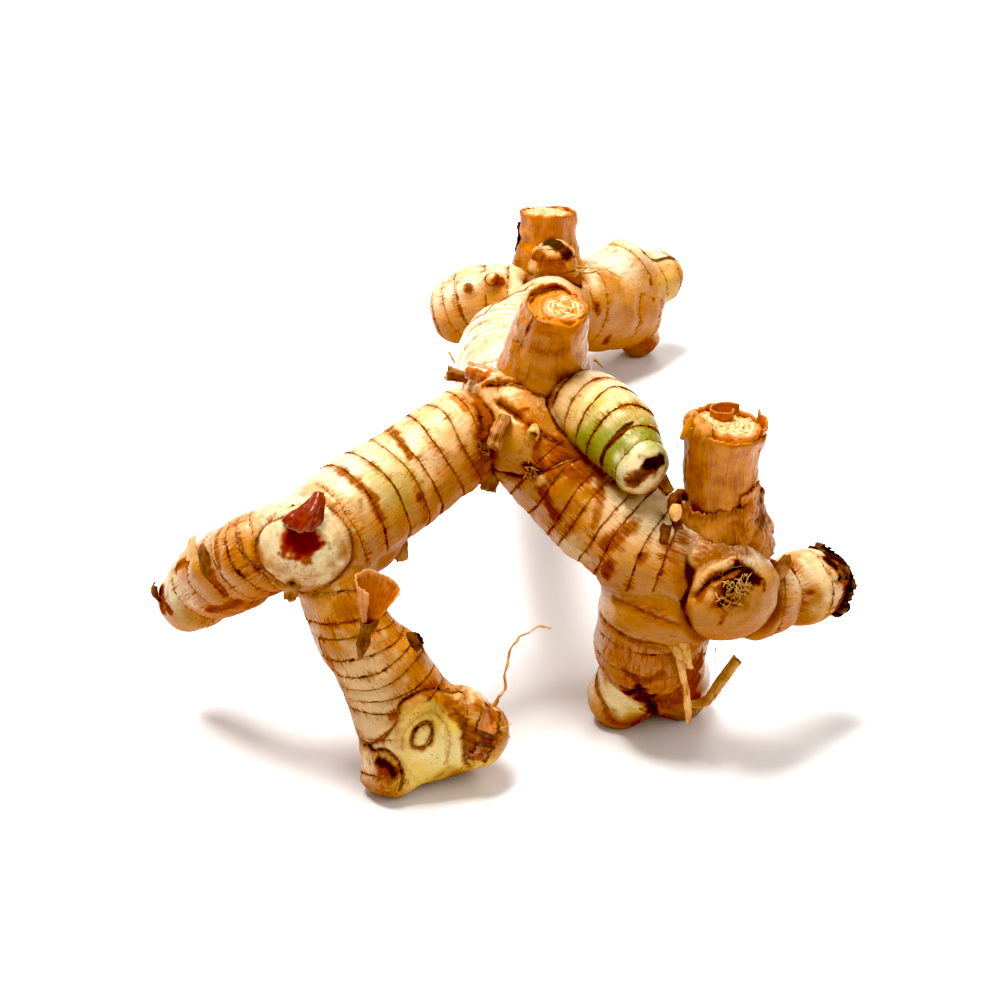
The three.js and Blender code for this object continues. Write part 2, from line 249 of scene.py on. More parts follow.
class Limb:
    # a bent tube with rounded ends: stations of x, y, z and radius in millimetres
    # angle 0 looks to the front and up, and angle 90 to the right

    def __init__(self, stations, step=1.0, start=0.0):
        rows = np.array(stations, float)
        self.centre, self.marks = centreLine(rows[:, :3], step)
        self.length = self.marks[-1]
        chord = np.concatenate([[0], np.cumsum(np.linalg.norm(np.diff(rows[:, :3], axis=0), axis=1))])
        share = self.marks / self.length * chord[-1]
        self.start = start
        self.marks = self.marks + start
        self.length = self.marks[-1]
        slot = np.clip(np.searchsorted(chord, share) - 1, 0, len(chord) - 2)
        blend = smooth(chord[slot], chord[slot + 1], share)
        self.radius = rows[slot, 3] * (1 - blend) + rows[slot + 1, 3] * blend
        self.tangent = np.gradient(self.centre, axis=0)
        self.tangent /= np.linalg.norm(self.tangent, axis=1)[:, None]
        side = front
        self.side = np.zeros_like(self.centre)
        for i, along in enumerate(self.tangent):
            side = side - along * side.dot(along)
            side = side / np.linalg.norm(side)
            self.side[i] = side
        self.other = np.cross(self.tangent, self.side)

    def at(self, mark):
        parts = [np.array([np.interp(mark, self.marks, rows[:, k]) for k in range(3)])
                 for rows in (self.centre, self.tangent, self.side, self.other)]
        return parts + [float(np.interp(mark, self.marks, self.radius))]

    def place(self, mark, angle):
        # a point on the skin
        centre, tangent, side, other, radius = self.at(mark)
        turn = np.radians(angle)
        out = side * np.cos(turn) + other * np.sin(turn)
        over = max(mark - self.length, self.start - mark, 0) / (domeArc * radius)
        way = tangent if mark > self.start else -tangent
        return centre + out * radius * np.cos(over) + way * domeDepth * radius * np.sin(over)

    def measure(self, points):
        # distance off the skin, distance along, and the two offsets across
        gap = np.full(len(points), 1e9)
        near = np.zeros(len(points), int)
        for i, spot in enumerate(self.centre):
            d = ((points - spot) ** 2).sum(1)
            closer = d < gap
            gap[closer] = d[closer]
            near[closer] = i
        off = points - self.centre[near]
        along = (off * self.tangent[near]).sum(1)
        across = off - self.tangent[near] * along[:, None]
        x = (across * self.side[near]).sum(1)
        y = (across * self.other[near]).sum(1)
        mark = self.marks[near] + along
        over = np.maximum(np.maximum(mark - self.length, self.start - mark), 0) / domeDepth
        wide = np.hypot(x, y)
        skin = np.hypot(wide, over) - self.radius[near]
        curl = np.arctan2(over, wide) * self.radius[near] * domeArc
        bent = np.where(mark > self.length, self.length + curl,
                        np.where(mark < self.start, self.start - curl, mark))
        return skin, bent, x, y, self.tangent[near]

    def rings(self, sides, flat=False):
        # rows of corners from one end to the other, as (rows, sides, 3), with domes unless flat
        rows = []
        angles = np.arange(sides) / sides * 2 * np.pi
        caps = [] if flat else [math.sin(a) for a in np.radians(domeAngles)]
        for cap in caps[::-1]:
            rows.append((self.start, -1, cap))
        rows += [(mark, 0, 0) for mark in self.marks]
        for cap in caps:
            rows.append((self.length, 1, cap))
        out = []
        for mark, way, cap in rows:
            centre, tangent, side, other, radius = self.at(mark)
            spokes = np.outer(np.cos(angles), side) + np.outer(np.sin(angles), other)
            wide = radius * math.sqrt(1 - cap ** 2)
            out.append(centre + tangent * way * cap * domeDepth * radius + spokes * wide)
        return np.array(out)


def gridFaces(rows, sides, closed=True):
    faces = []
    last = sides if closed else sides - 1
    for i in range(rows - 1):
        for j in range(last):
            k = (j + 1) % sides
            faces.append((i * sides + j, i * sides + k, (i + 1) * sides + k, (i + 1) * sides + j))
    return faces


def meshPiece(name, points, faces, slot=None, smoothShade=True):
    # points in the working millimetres; with a slot, the piece rides on the body at once
    data = bpy.data.meshes.new(name)
    data.from_pydata(((np.asarray(points) + shift) * mm).tolist(), [], faces)
    data.update()
    piece = bpy.data.objects.new(name, data)
    bpy.context.scene.collection.objects.link(piece)
    if smoothShade:
        data.shade_smooth()
    if slot:
        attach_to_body(piece, "root")
    return piece


def tubeMesh(rows):
    # a closed tube, with one more point in the middle of each end
    count, sides = rows.shape[:2]
    points = np.vstack([rows.reshape(-1, 3), rows[0].mean(0), rows[-1].mean(0)])
    faces = gridFaces(count, sides)
    first, last = len(points) - 2, len(points) - 1
    for j in range(sides):
        k = (j + 1) % sides
        faces.append((first, k, j))
        faces.append((last, (count - 1) * sides + j, (count - 1) * sides + k))
    return points, faces


def pick(piece):
    bpy.ops.object.select_all(action="DESELECT")
    bpy.context.view_layer.objects.active = piece
    piece.select_set(True)


def attach(piece, **fields):
    # values on the corners of a piece, for its material to read
    for name, values in fields.items():
        flat = np.ndim(values) == 1
        attribute = piece.data.attributes.new(name, "FLOAT" if flat else "FLOAT_VECTOR", "POINT")
        attribute.data.foreach_set("value" if flat else "vector", np.asarray(values, np.float32).ravel())


def waves(points, size, seed, count=14):
    # smooth, seeded lumps between about -1 and 1, of a given size
    rng = np.random.default_rng(seed)
    ways = rng.normal(size=(count, 3))
    ways /= np.linalg.norm(ways, axis=1)[:, None]
    pace = 2 * np.pi / size * rng.uniform(0.6, 1.4, count)
    start = rng.uniform(0, 2 * np.pi, count)
    return np.sin(points @ (ways * pace[:, None]).T + start).sum(1) / math.sqrt(count / 2)


# each limb: stations, the places of its leaf scars, how far their planes lean, and the groups of limbs
# that it runs into without a crease; down counts the scars from a height instead of along the limb
limbs = {
    "leftArm": dict(joins="L", start=12.1, rings=(4.6, 10.8, 17.5, 24, 32.5, 38, 46, 54.5, 62.3), stations=(
        (-9.5, -122.6, 90.0, 13.8), (-21, -129, 84.2, 14), (-34, -139, 79, 15.2),
        (-46, -149, 75, 15.8), (-55, -157, 72, 12.8))),
    "leftBranch": dict(joins="L", rings=(8.5, 11.6, 14.2, 18.6, 23.5, 31.2, 41.5), lean=(0, -0.12), stations=(
        (-56, -151, 72, 12), (-67, -151, 67, 12.4), (-77, -145, 57.8, 12.2), (-86, -137, 47.6, 11.2),
        (-93, -131, 39.2, 9.6))),
    "leftLeg": dict(joins="L", rings=(13, 19.8, 23.6, 28.8, 33, 37.2, 43, 47.5, 56.5), lean=(0, 0.27), stations=(
        (-50, -153, 69, 10), (-45, -161, 57, 10.8), (-40, -165, 46, 11.4), (-34, -165, 36, 13.2),
        (-28, -166, 24, 14.8), (-22, -167, 14, 13.8))),
    "rightArm": dict(joins="J", rings=(6, 13.5, 20.7, 28, 32.3, 39.5, 44.2, 53.5, 58.8, 66), stations=(
        (5, -120, 91, 13.5), (17, -127, 81, 15.4), (29, -134.5, 72.2, 16.2), (42, -142, 64.4, 16.6),
        (54, -147, 60, 15.8), (62, -147, 56, 15))),
    "rightBranch": dict(joins="B", rings=(6, 13.2, 19.5, 27.5), stations=(
        (66, -149, 52, 12), (74, -146, 49, 10.8), (81, -143, 48, 10.2), (89, -136, 46, 10.2),
        (96, -130, 44, 9.4))),
    "rightFoot": dict(joins="FJ", rings=(13, 20.5, 31.5), down=52, stations=(
        (52, -150, 50, 15), (45.5, -146, 46, 16), (44.8, -144, 33, 17.5), (45.3, -139.8, 19, 14.0))),
    "greenFinger": dict(joins="G", rings=(9, 16.5, 22.5, 29, 34.6, 40.8, 46.9, 51.6), stations=(
        (8, -106, 93, 9), (17, -113, 93.5, 10.4), (25, -122, 96.6, 12.2), (33, -134, 96.4, 11.6),
        (39.5, -146, 92, 8.4))),
    "spine": dict(joins="JK", rings=(14, 41, 56, 78, 92, 103, 120, 134, 145, 165, 178, 190), stations=(
        (4, -120, 93, 13.5), (3, -95, 91, 15), (2, -60, 82, 16), (4, -20, 69.5, 15.5), (10, 25, 53.5, 14.5),
        (16.5, 65, 41.5, 14.2), (20, 90, 36, 14))),
    "backLeft": dict(joins="K", rings=(14, 21.5, 29.5, 34, 41, 47), stations=(
        (18, 95, 37.5, 12.5), (2, 95, 36.6, 13.8), (-10, 96, 34.5, 14), (-17.5, 99, 30, 12.8))),
    "backRight": dict(joins="K", rings=(5, 13, 35.5, 48), stations=(
        (20, 90, 36.5, 14.2), (30, 100, 32.5, 17.2), (42, 111, 27, 18.8), (52, 118, 24, 16))),
    "rightNode": dict(joins="N", rings=(), stations=((62, -146, 55, 15), (64.6, -156.5, 57, 14.4))),
    "nodeCorner": dict(joins="N", rings=(), stations=((57, -149, 61, 11), (57.2, -154.4, 64.2, 10.6))),
    "leftBud": dict(joins="L", rings=(3.5, 11.3), lean=(0.46, -0.05), stations=(
        (-52, -150, 74, 13.5), (-55, -160.5, 73.5, 12.6))),
    "leftFootKnob": dict(joins="L", rings=(13.5,), stations=((-29, -168, 16, 11), (-32, -175.5, 6.3, 8.4))),
    "leftFootHeel": dict(joins="L", rings=(5, 12), stations=((-13, -167, 18, 12), (-5, -166, 14, 9.8))),
    "leftFootSole": dict(joins="L", rings=(), stations=((-24, -166, 12, 12.2), (-11.5, -161, 9.6, 10.8))),
    "rightFootKnob": dict(joins="F", rings=(), stations=((43, -141, 20, 12), (36.5, -136, 7.5, 10.2))),
    "rightFootHeel": dict(joins="F", rings=(), stations=((50, -139, 20, 12), (53.5, -131, 7.4, 10.6))),
    "armHeel": dict(joins="L", rings=(), stations=((-40, -146, 73, 12), (-35, -147, 66, 9))),
    "junctionFront": dict(joins="J", rings=(), stations=((5, -118, 92, 13.5), (7.5, -128, 89, 12))),
    "nodeKnob": dict(joins="B", rings=(9,), stations=((71, -141, 62, 6), (75.5, -139, 68.5, 5))),
    "stemSeat": dict(joins="J", rings=(), stations=((11, -108, 90, 14), (12.5, -109, 97, 11))),
    "backRise": dict(joins="K", rings=(11,), stations=((44, 112, 35, 14), (51, 118, 40, 12.5))),
    "backKnob": dict(joins="K", rings=(6, 15), stations=((54, 120, 32, 13), (63.5, 126.5, 32.4, 11.2))),
    "backFoot": dict(joins="K", rings=(), stations=((53, 122, 14, 9), (57.5, 123.5, 5.4, 7.4))),
    "backBud": dict(joins="T", rings=(3.4, 6.4, 12.2, 17), stations=(
        (20, 87.8, 45, 10.6), (20, 88.6, 51, 10.0), (20, 89.8, 56.8, 8.6))),
    "backWartLeft": dict(joins="K", rings=(7,), stations=((-12, 90, 42, 4), (-12.5, 85, 45.5, 3.4))),
    "backWartRight": dict(joins="K", rings=(7.5,), stations=((-3, 90, 45, 4), (-3, 85, 49, 3.6))),
}
for entry in limbs.values():
    entry["limb"] = Limb(entry["stations"], start=entry.get("start", 0.0))


def along(name, *marks):
    # points on one limb's skin, from distances along and angles
    return [limbs[name]["limb"].place(mark, angle).tolist() for mark, angle in marks]


# coloured marks on the skin, by kind: strength, half width and the points they run through; most are the skin's own
# stains, a few are painted shade or painted light, noted where they stand
marks = {
    "orange": [
        # painted shade on the top of the left arm's end, beside the junction
        (0.9, 5, [(-6.3, -124.5, 104.4), (-8.6, -126.7, 102.9)]),
        (0.7, 8, [(-40.5, -171.5, 51), (-42.5, -171, 58)]),
        (0.5, 6, along("rightBranch", (14, -60), (24, -70))),
        # painted shadow along the crease between the left arm's end and the junction
        (0.8, 5, [(-4.5, -128, 103), (-3.4, -132.6, 97.9), (-5.4, -135.1, 91.2), (-8, -134, 84)]),
        # painted shade over the junction's top
        (0.55, 11, [(-1.5, -121, 104.8), (5.7, -126.4, 102.8), (5.7, -134.9, 97.5), (8.5, -137.1, 92.2),
            (1.4, -136.1, 90.1), (3, -135, 84)]),
        # painted shade on the right arm under the green finger's base
        (1, 8, [(13.1, -133.2, 97.3), (14.8, -137.5, 91.8), (19.8, -142.3, 86.6), (17, -143.8, 81.4)]),
        (0.45, 7, along("leftArm", (24, -50), (38, -68), (50, -80))),
        (0.45, 4, along("leftArm", (63, 60), (63, 20))),
        (0.5, 5, [(-55.6, -168.4, 80.4), (-54.6, -169, 78.6)]),
        (0.5, 5, along("leftBranch", (24, -40), (34, -50), (14, -50))),
        (0.4, 7, along("leftLeg", (10, -40), (26, -55), (38, -60))),
        (0.8, 3.8, [(-21.2, -173.9, 35.1), (-17.1, -166.3, 33.4)]),
        (0.55, 2.8, [(-16, -178, 8), (-21, -180, 6)]),
        (0.9, 6.5, [(-3.5, -174, 17), (-2.5, -170, 24)]),
        (0.6, 6, along("rightArm", (12, 60), (24, 62), (36, 62), (48, 66))),
        (0.9, 6, [(-40.6, -168.9, 63.1), (-43, -169, 60)]),
        (0.8, 4, [(-27.8, -150.9, 68.1)]),
        (0.8, 6, [(-90.8, -148.1, 50.3)]),
        (0.3, 8, along("rightArm", (20, 20), (36, 20), (52, 10))),
        (0.5, 5, [(16, -139.5, 88), (20, -139.6, 89)]),
        (1, 3.4, [(42, -151.6, 94.7), (39.4, -152.6, 93.2), (37.6, -152.7, 91.4)]),
        (0.4, 10, [(62, -163, 60), (66, -163, 56)]),
        (0.6, 6, [(78, -152.5, 42), (84, -149, 42)]),
        (0.6, 2.4, [(-22, -179.5, 23.5)]),
        (0.7, 7, [(38, -158, 50), (46, -162, 46), (54, -160, 42)]),
        (0.7, 8, [(42.5, 88.6, 38), (44, 92, 26), (45, 93, 46), (46, 95, 18)]),
    ],
    "brown": [
        (0.8, 3, [(-2, -133, 96), (-2, -134.6, 90)]),
        # painted shade over the junction's top
        (0.14, 9, [(-3, -124, 104.5), (2, -128, 102), (2, -133, 97), (8, -137, 91), (2, -136, 86), (12, -139, 88)]),
        (0.95, 1.9, [(-5.4, -118.5, 106), (-0.6, -120.6, 105.8), (5, -121.5, 105.3), (9.5, -122.6, 104.2),
            (13.8, -122.8, 102.6)]),
        (0.9, 1.6, [(-0.9, -127.7, 103.4), (3.4, -129.6, 100.4), (7, -132, 98.4), (12.4, -134.2, 95.4),
            (22.8, -138.4, 92.2)]),
        (0.5, 5, [(-90.8, -148.1, 50.3), (-27.8, -150.9, 66.5)]),
        (0.5, 6, along("leftBranch", (26, -78), (34, -78), (18, -74))),
        (0.7, 3.4, [(56.1, -159.5, 69.4), (61.7, -158.7, 70.6), (68.5, -157, 70.4)]),
        (0.7, 4, [(-13.5, -172, 30), (-9, -172, 28)]),
        (0.45, 5, [(-54, -170.5, 70.5), (-58.5, -169.5, 72)]),
        # painted shadow along the crease between the left arm's end and the junction
        (0.55, 4.2, [(-5, -131, 100), (-5.2, -134.4, 92), (-7.5, -134, 85)]),
        # painted shade on the right arm under the green finger's base, with dark streaks
        (0.8, 2.8, [(15, -136.5, 92.5), (19.5, -138.5, 91), (24, -139.5, 89.5)]),
        # painted shadow along the crease between the left arm's end and the junction, over its dark line
        (0.8, 2.2, [(-4, -127.8, 103.2), (-3, -132.6, 97.9), (-4.4, -135.1, 91.2), (-7, -134, 85)]),
        # painted shade on the right arm under the green finger's base
        (0.75, 3.6, [(16, -138.5, 90.8), (20.6, -141.6, 87.2), (24.1, -141.5, 86.4)]),
        (0.7, 2.4, [(10.4, -138.2, 90), (14.6, -141.4, 86.4)]),
        (0.95, 1.8, [(-5.4, -128.3, 103.1), (-4.6, -132.6, 99.5), (-4.8, -134.6, 94.2)]),
        (1, 2.6, [(-4.8, -134.8, 92.3), (-4, -134.7, 89.1)]),
        (0.85, 1.9, along("leftArm", (54.6, 48), (54.4, 25), (53.8, 4), (54.2, -18))),
        (0.5, 1.2, along("leftArm", (54, -18), (53.4, -39))),
        (0.9, 1.5, along("leftArm", (31.2, 72), (32.6, 50), (33.6, 33), (35.2, 14))),
        (0.6, 1, along("leftArm", (31.2, 90), (32, 72))),
        (1, 2.3, [(-22.5, -148.6, 83)]),
        (0.6, 1.4, along("leftArm", (40, -20), (39.5, -45), (41, -65))),
        (0.75, 2.1, [(-53.2, -169.8, 74.6)]),
        (0.45, 1.6, along("leftBud", (5.4, 4), (7.1, -40), (9.4, -75))),
        (0.9, 2.6, along("leftBranch", (33, -42), (27, -48), (22, -55))),
        (0.8, 2, along("leftBranch", (22.4, 25), (22.4, -5), (22.6, -30))),
        (0.9, 2.4, along("leftBranch", (30, 42), (33, 38), (38, 40))),
        (0.7, 1.6, along("leftBranch", (18, 60), (18, 30), (18, 5))),
        (1, 2.6, [(-96.7, -140.7, 42.1)]),
        (0.8, 2.6, along("leftBranch", (53, 30), (55, 5))),
        (0.6, 2, along("leftLeg", (22, 60), (26, 52), (30, 58))),
        (0.9, 1.9, [(-30.1, -179.8, 29.9)]),
        (0.7, 2.6, [(-21.2, -173.9, 35.1), (-18.5, -170.5, 34)]),
        (0.6, 5.6, [(-33, -180, 12), (-32, -181, 7)]),
        (1, 3.4, [(-33.3, -181.1, 12.6), (-31, -181.3, 12)]),
        (0.8, 2.2, [(-8, -177.4, 18.7), (-6.2, -176.4, 14), (-2.3, -168.2, 23.7)]),
        (0.9, 2.6, [(-12.5, -174, 27), (-9.5, -174.5, 22.5), (-9, -174.6, 17)]),
        (0.8, 2.8, [(37, -152.7, 76), (34, -153.8, 73.6), (31.1, -153.2, 71)]),
        (0.7, 1.8, [(27.8, -140.5, 87.6), (28.5, -146, 82), (27, -150, 75)]),
        (0.9, 2.2, [(39.9, -157.6, 69)]),
        (0.9, 2.4, [(29.9, -152.9, 59.6), (31.7, -155.2, 66)]),
        (1, 3.2, [(8.5, -138.2, 87.1), (11, -139, 88)]),
        (0.85, 1.3, [(11.4, -135.4, 94.6), (10, -136.5, 92.5)]),
        (0.95, 2.6, [(12.8, -142.6, 80.6), (15.7, -144.3, 75.1)]),
        (0.9, 0.6, [(6.4, -129.4, 101), (8.3, -129.2, 102)]),
        (1, 2.9, [(42, -151.6, 94.9), (39.4, -152.6, 93.4), (37.6, -152.7, 91.6)]),
        (0.9, 1.8, [(56.2, -164.6, 61), (58.6, -164.2, 65), (62.4, -163.4, 67), (67.5, -161.6, 67.6)]),
        (1, 4.6, [(62.5, -166.2, 60.5), (65.6, -165.4, 62.6), (69.2, -163, 65.2)]),
        (0.5, 3, [(62.1, -166.4, 59.6)]),
        (0.6, 4.2, [(49, -157.5, 70), (52, -157, 73), (56, -157, 74), (64, -157, 73)]),
        (0.9, 4.2, [(97, -134.5, 53), (101.5, -136, 47.5), (98.5, -140, 42)]),
        (0.9, 1.2, [(91.2, -146.9, 51)]),
        (0.5, 3, [(34.4, -152.9, 53.5), (38.5, -157.5, 53.5), (45.3, -162.6, 51.5)]),
        (0.75, 1.8, [(28.9, -137.6, 16), (30.5, -144.4, 11.6), (34.2, -145.5, 5.1), (40.9, -144.7, 3.9)]),
        (0.9, 2.4, [(43.5, -153, 20), (45, -151, 15), (44.2, -147, 8.5)]),
        (0.5, 4.6, [(33.4, -152.6, 36.5), (40.3, -158, 38.6), (48.8, -159.8, 38.2), (55, -158, 36)]),
        (0.55, 3.6, [(31, -147, 27), (36, -151, 29)]),
        (0.9, 3.6, [(42.5, -153.7, 22.6), (44.5, -152.8, 19)]),
        (0.8, 6, [(42.5, -153.7, 24.6), (47, -152, 21), (50, -151, 17)]),
        (0.5, 5.5, [(36, -157.1, 37.6), (43, -159, 35), (51.5, -161.1, 40.2)]),
        (0.9, 6.5, [(55.3, -154.7, 29.9), (55, -150, 22)]),
        (0.55, 7, [(48.5, -157, 31), (40, -155.5, 31)]),
        (0.5, 4.5, [(50.6, -148.2, 12.4), (47, -150, 14)]),
        (0.6, 4, [(41.9, -146.2, 6.4), (50, -142, 5)]),
        (0.9, 3.2, [(13.5, 85, 60), (17, 82, 57.5), (22, 82, 55.5)]),
        (0.9, 2.4, [(-12.2, 82.8, 46.6)]),
        (0.9, 2.2, [(-1, 82.6, 50), (1.5, 83.5, 49)]),
        (0.95, 1.6, [(36.9, 84.5, 38.5), (37.2, 84.6, 35.4)]),
        (0.95, 2, [(41.1, 92, 20.6), (41.3, 91.5, 23)]),
        (0.8, 1.7, [(59.1, 108.9, 37.8)]),
        (0.8, 1.3, [(60.3, 106.2, 31.3)]),
        (0.7, 4, [(57.9, 108.3, 13.9), (60, 118, 6)]),
        (0.7, 2, [(-26.5, 93, 20), (-20, 90, 17)]),
    ],
    "pale": [
        # painted light: bounced light on the right arm's lower edge
        (0.4, 6, [(20.1, -145.4, 64.9)]),
        (1, 11.5, [(-54.5, -168.5, 77.5)]),
        (0.6, 4.5, along("leftBranch", (37, -10), (43, 12))),
        (0.4, 6, [(-20, -179, 19), (-14, -176, 17)]),
        # painted light over the shadow that the green finger casts on the right arm
        (0.75, 6.5, [(40.2, -146.3, 81.1), (46.9, -143.6, 79.6), (45.1, -151.2, 77.4)]),
        (0.4, 8, [(-34.6, -178.3, 21), (-36.5, -177.4, 34.1), (-38, -176, 44)]),
        (0.35, 6, [(-82.2, -152.1, 68.8)]),
        # painted light over the shadow that the green finger casts on the right arm
        (0.5, 6, [(42.5, -146.1, 81), (44, -150, 79)]),
        (0.95, 7.2, [(39.7, -153.4, 93.8)]),
        (0.5, 5, [(91, -141, 54.5), (95, -141.5, 50)]),
        (0.7, 5.5, [(34, -147.6, 14.5), (37, -149, 17)]),
    ],
    "dark": [
        # painted shadow at the middle stem's foot, between it and the green finger
        (0.6, 3, [(23, -119, 96), (21.5, -114, 98), (18.5, -121.5, 97)]),
        (1, 2.2, [(-100.1, -134, 43.8)]),
        (0.7, 1.4, [(-34.6, -180.6, 14.4), (-31.6, -180.9, 14), (-30.4, -181.4, 11.6)]),
        (0.8, 1.2, [(7.5, -138.2, 88), (12, -139.6, 86.5)]),
        (0.9, 0.9, along("greenFinger", (46.8, 52), (46.8, 15), (46.6, -19), (45.2, -52))),
        (1, 1.7, [(44.6, -149.4, 96.2), (42.6, -151.2, 95.8), (40.6, -152, 95.4)]),
        (1, 1.5, [(43.4, -150.8, 94.8), (44.8, -149.4, 95)]),
        (0.4, 2.6, [(42, -151.6, 94.9), (39.4, -152.6, 93.4), (37.6, -152.7, 91.6)]),
        (0.75, 3, [(65.5, -165, 64.2), (69.2, -163, 66.2), (71, -162.2, 64.6)]),
        (1, 1.3, [(62.1, -167, 59)]),
        (1, 3.2, [(96.3, -130.9, 53.6), (102.5, -130.4, 49.9), (103.5, -133.5, 46.9), (101, -137, 42.5)]),
        (0.8, 2, [(95, -136, 54), (100.5, -136, 50.5)]),
        (1, 4.4, [(42.2, -154.2, 24.4), (41.4, -154.2, 25.8)]),
        (0.7, 2.2, [(43.5, -153, 20), (45.5, -149.5, 13), (45.5, -147, 7)]),
        (0.32, 5.5, [(45, -155, 26.5), (47.5, -154, 21)]),
        (0.5, 1.6, [(38, -155, 32), (42, -156.5, 30), (46, -156.5, 33)]),
        (1, 3, [(18, 88.5, 64.5), (22, 85.5, 63.5), (25, 84.5, 60)]),
        (0.75, 1.4, [(58, 113, 50), (64, 121, 42.5), (70.5, 126, 38.5), (73, 127, 33), (71.5, 124.5, 26.5)]),
    ],
    "green": [
        (0.45, 8, [(-29.4, -150, 88), (-33, -150, 87)]),
        (0.25, 5, [(-60, -163, 80)]),
        (0.35, 4.5, along("leftBranch", (44, 5), (47, -20))),
        (0.32, 7, [(-18, -178, 27), (-13, -174, 24)]),
        (0.2, 6, [(-16, -178.5, 14)]),
        (0.95, 6.5, along("greenFinger", (36, 50), (41, 30), (44, 10), (48, -10))),
        (0.95, 7, along("greenFinger", (50, 40), (50, 10), (50, -20), (51, -60), (51, -95))),
        (0.5, 8, along("greenFinger", (40, -30), (42, -80))),
    ],
    "red": [
        (1, 4.3, [(-57.6, -167.6, 80.6), (-56, -168, 81), (-54.7, -169, 79.4), (-53, -168.8, 80.6)]),
        (0.5, 1.6, [(-33.6, -181.1, 11.6)]),
        (0.6, 1.8, [(-4.3, -174.9, 20.3), (-5.7, -174, 23.5)]),
        (0.5, 2.4, [(-5.7, -174.8, 21.5)]),
        (0.6, 2, [(56.3, -148.1, 17.7), (59.4, -142.5, 8.5)]),
    ],
    "yellow": [
        (0.8, 1.8, [(-47.6, -165.8, 80.4)]),
        (1, 8.5, [(-22, -179.3, 25), (-20, -179, 14), (-13, -175.5, 20), (-24, -180, 10)]),
        (0.8, 6, [(-10, -173, 12), (-5.5, -172, 9)]),
        (0.4, 6, along("greenFinger", (34, 10), (36, -20), (36, 40))),
        (0.3, 4, [(93, -144, 45)]),
        (0.7, 6, [(34.5, -147.6, 15), (38, -149, 12)]),
        (0.45, 5, [(64.8, 116.2, 35.6), (66.5, 118, 31)]),
    ],
    "bare": [
        (1, 9.5, [(-22, -179.3, 25), (-20, -179, 14), (-13, -175.5, 20), (-24, -180, 10)]),
        (1, 10, [(64, -166, 61)]),
    ],
}

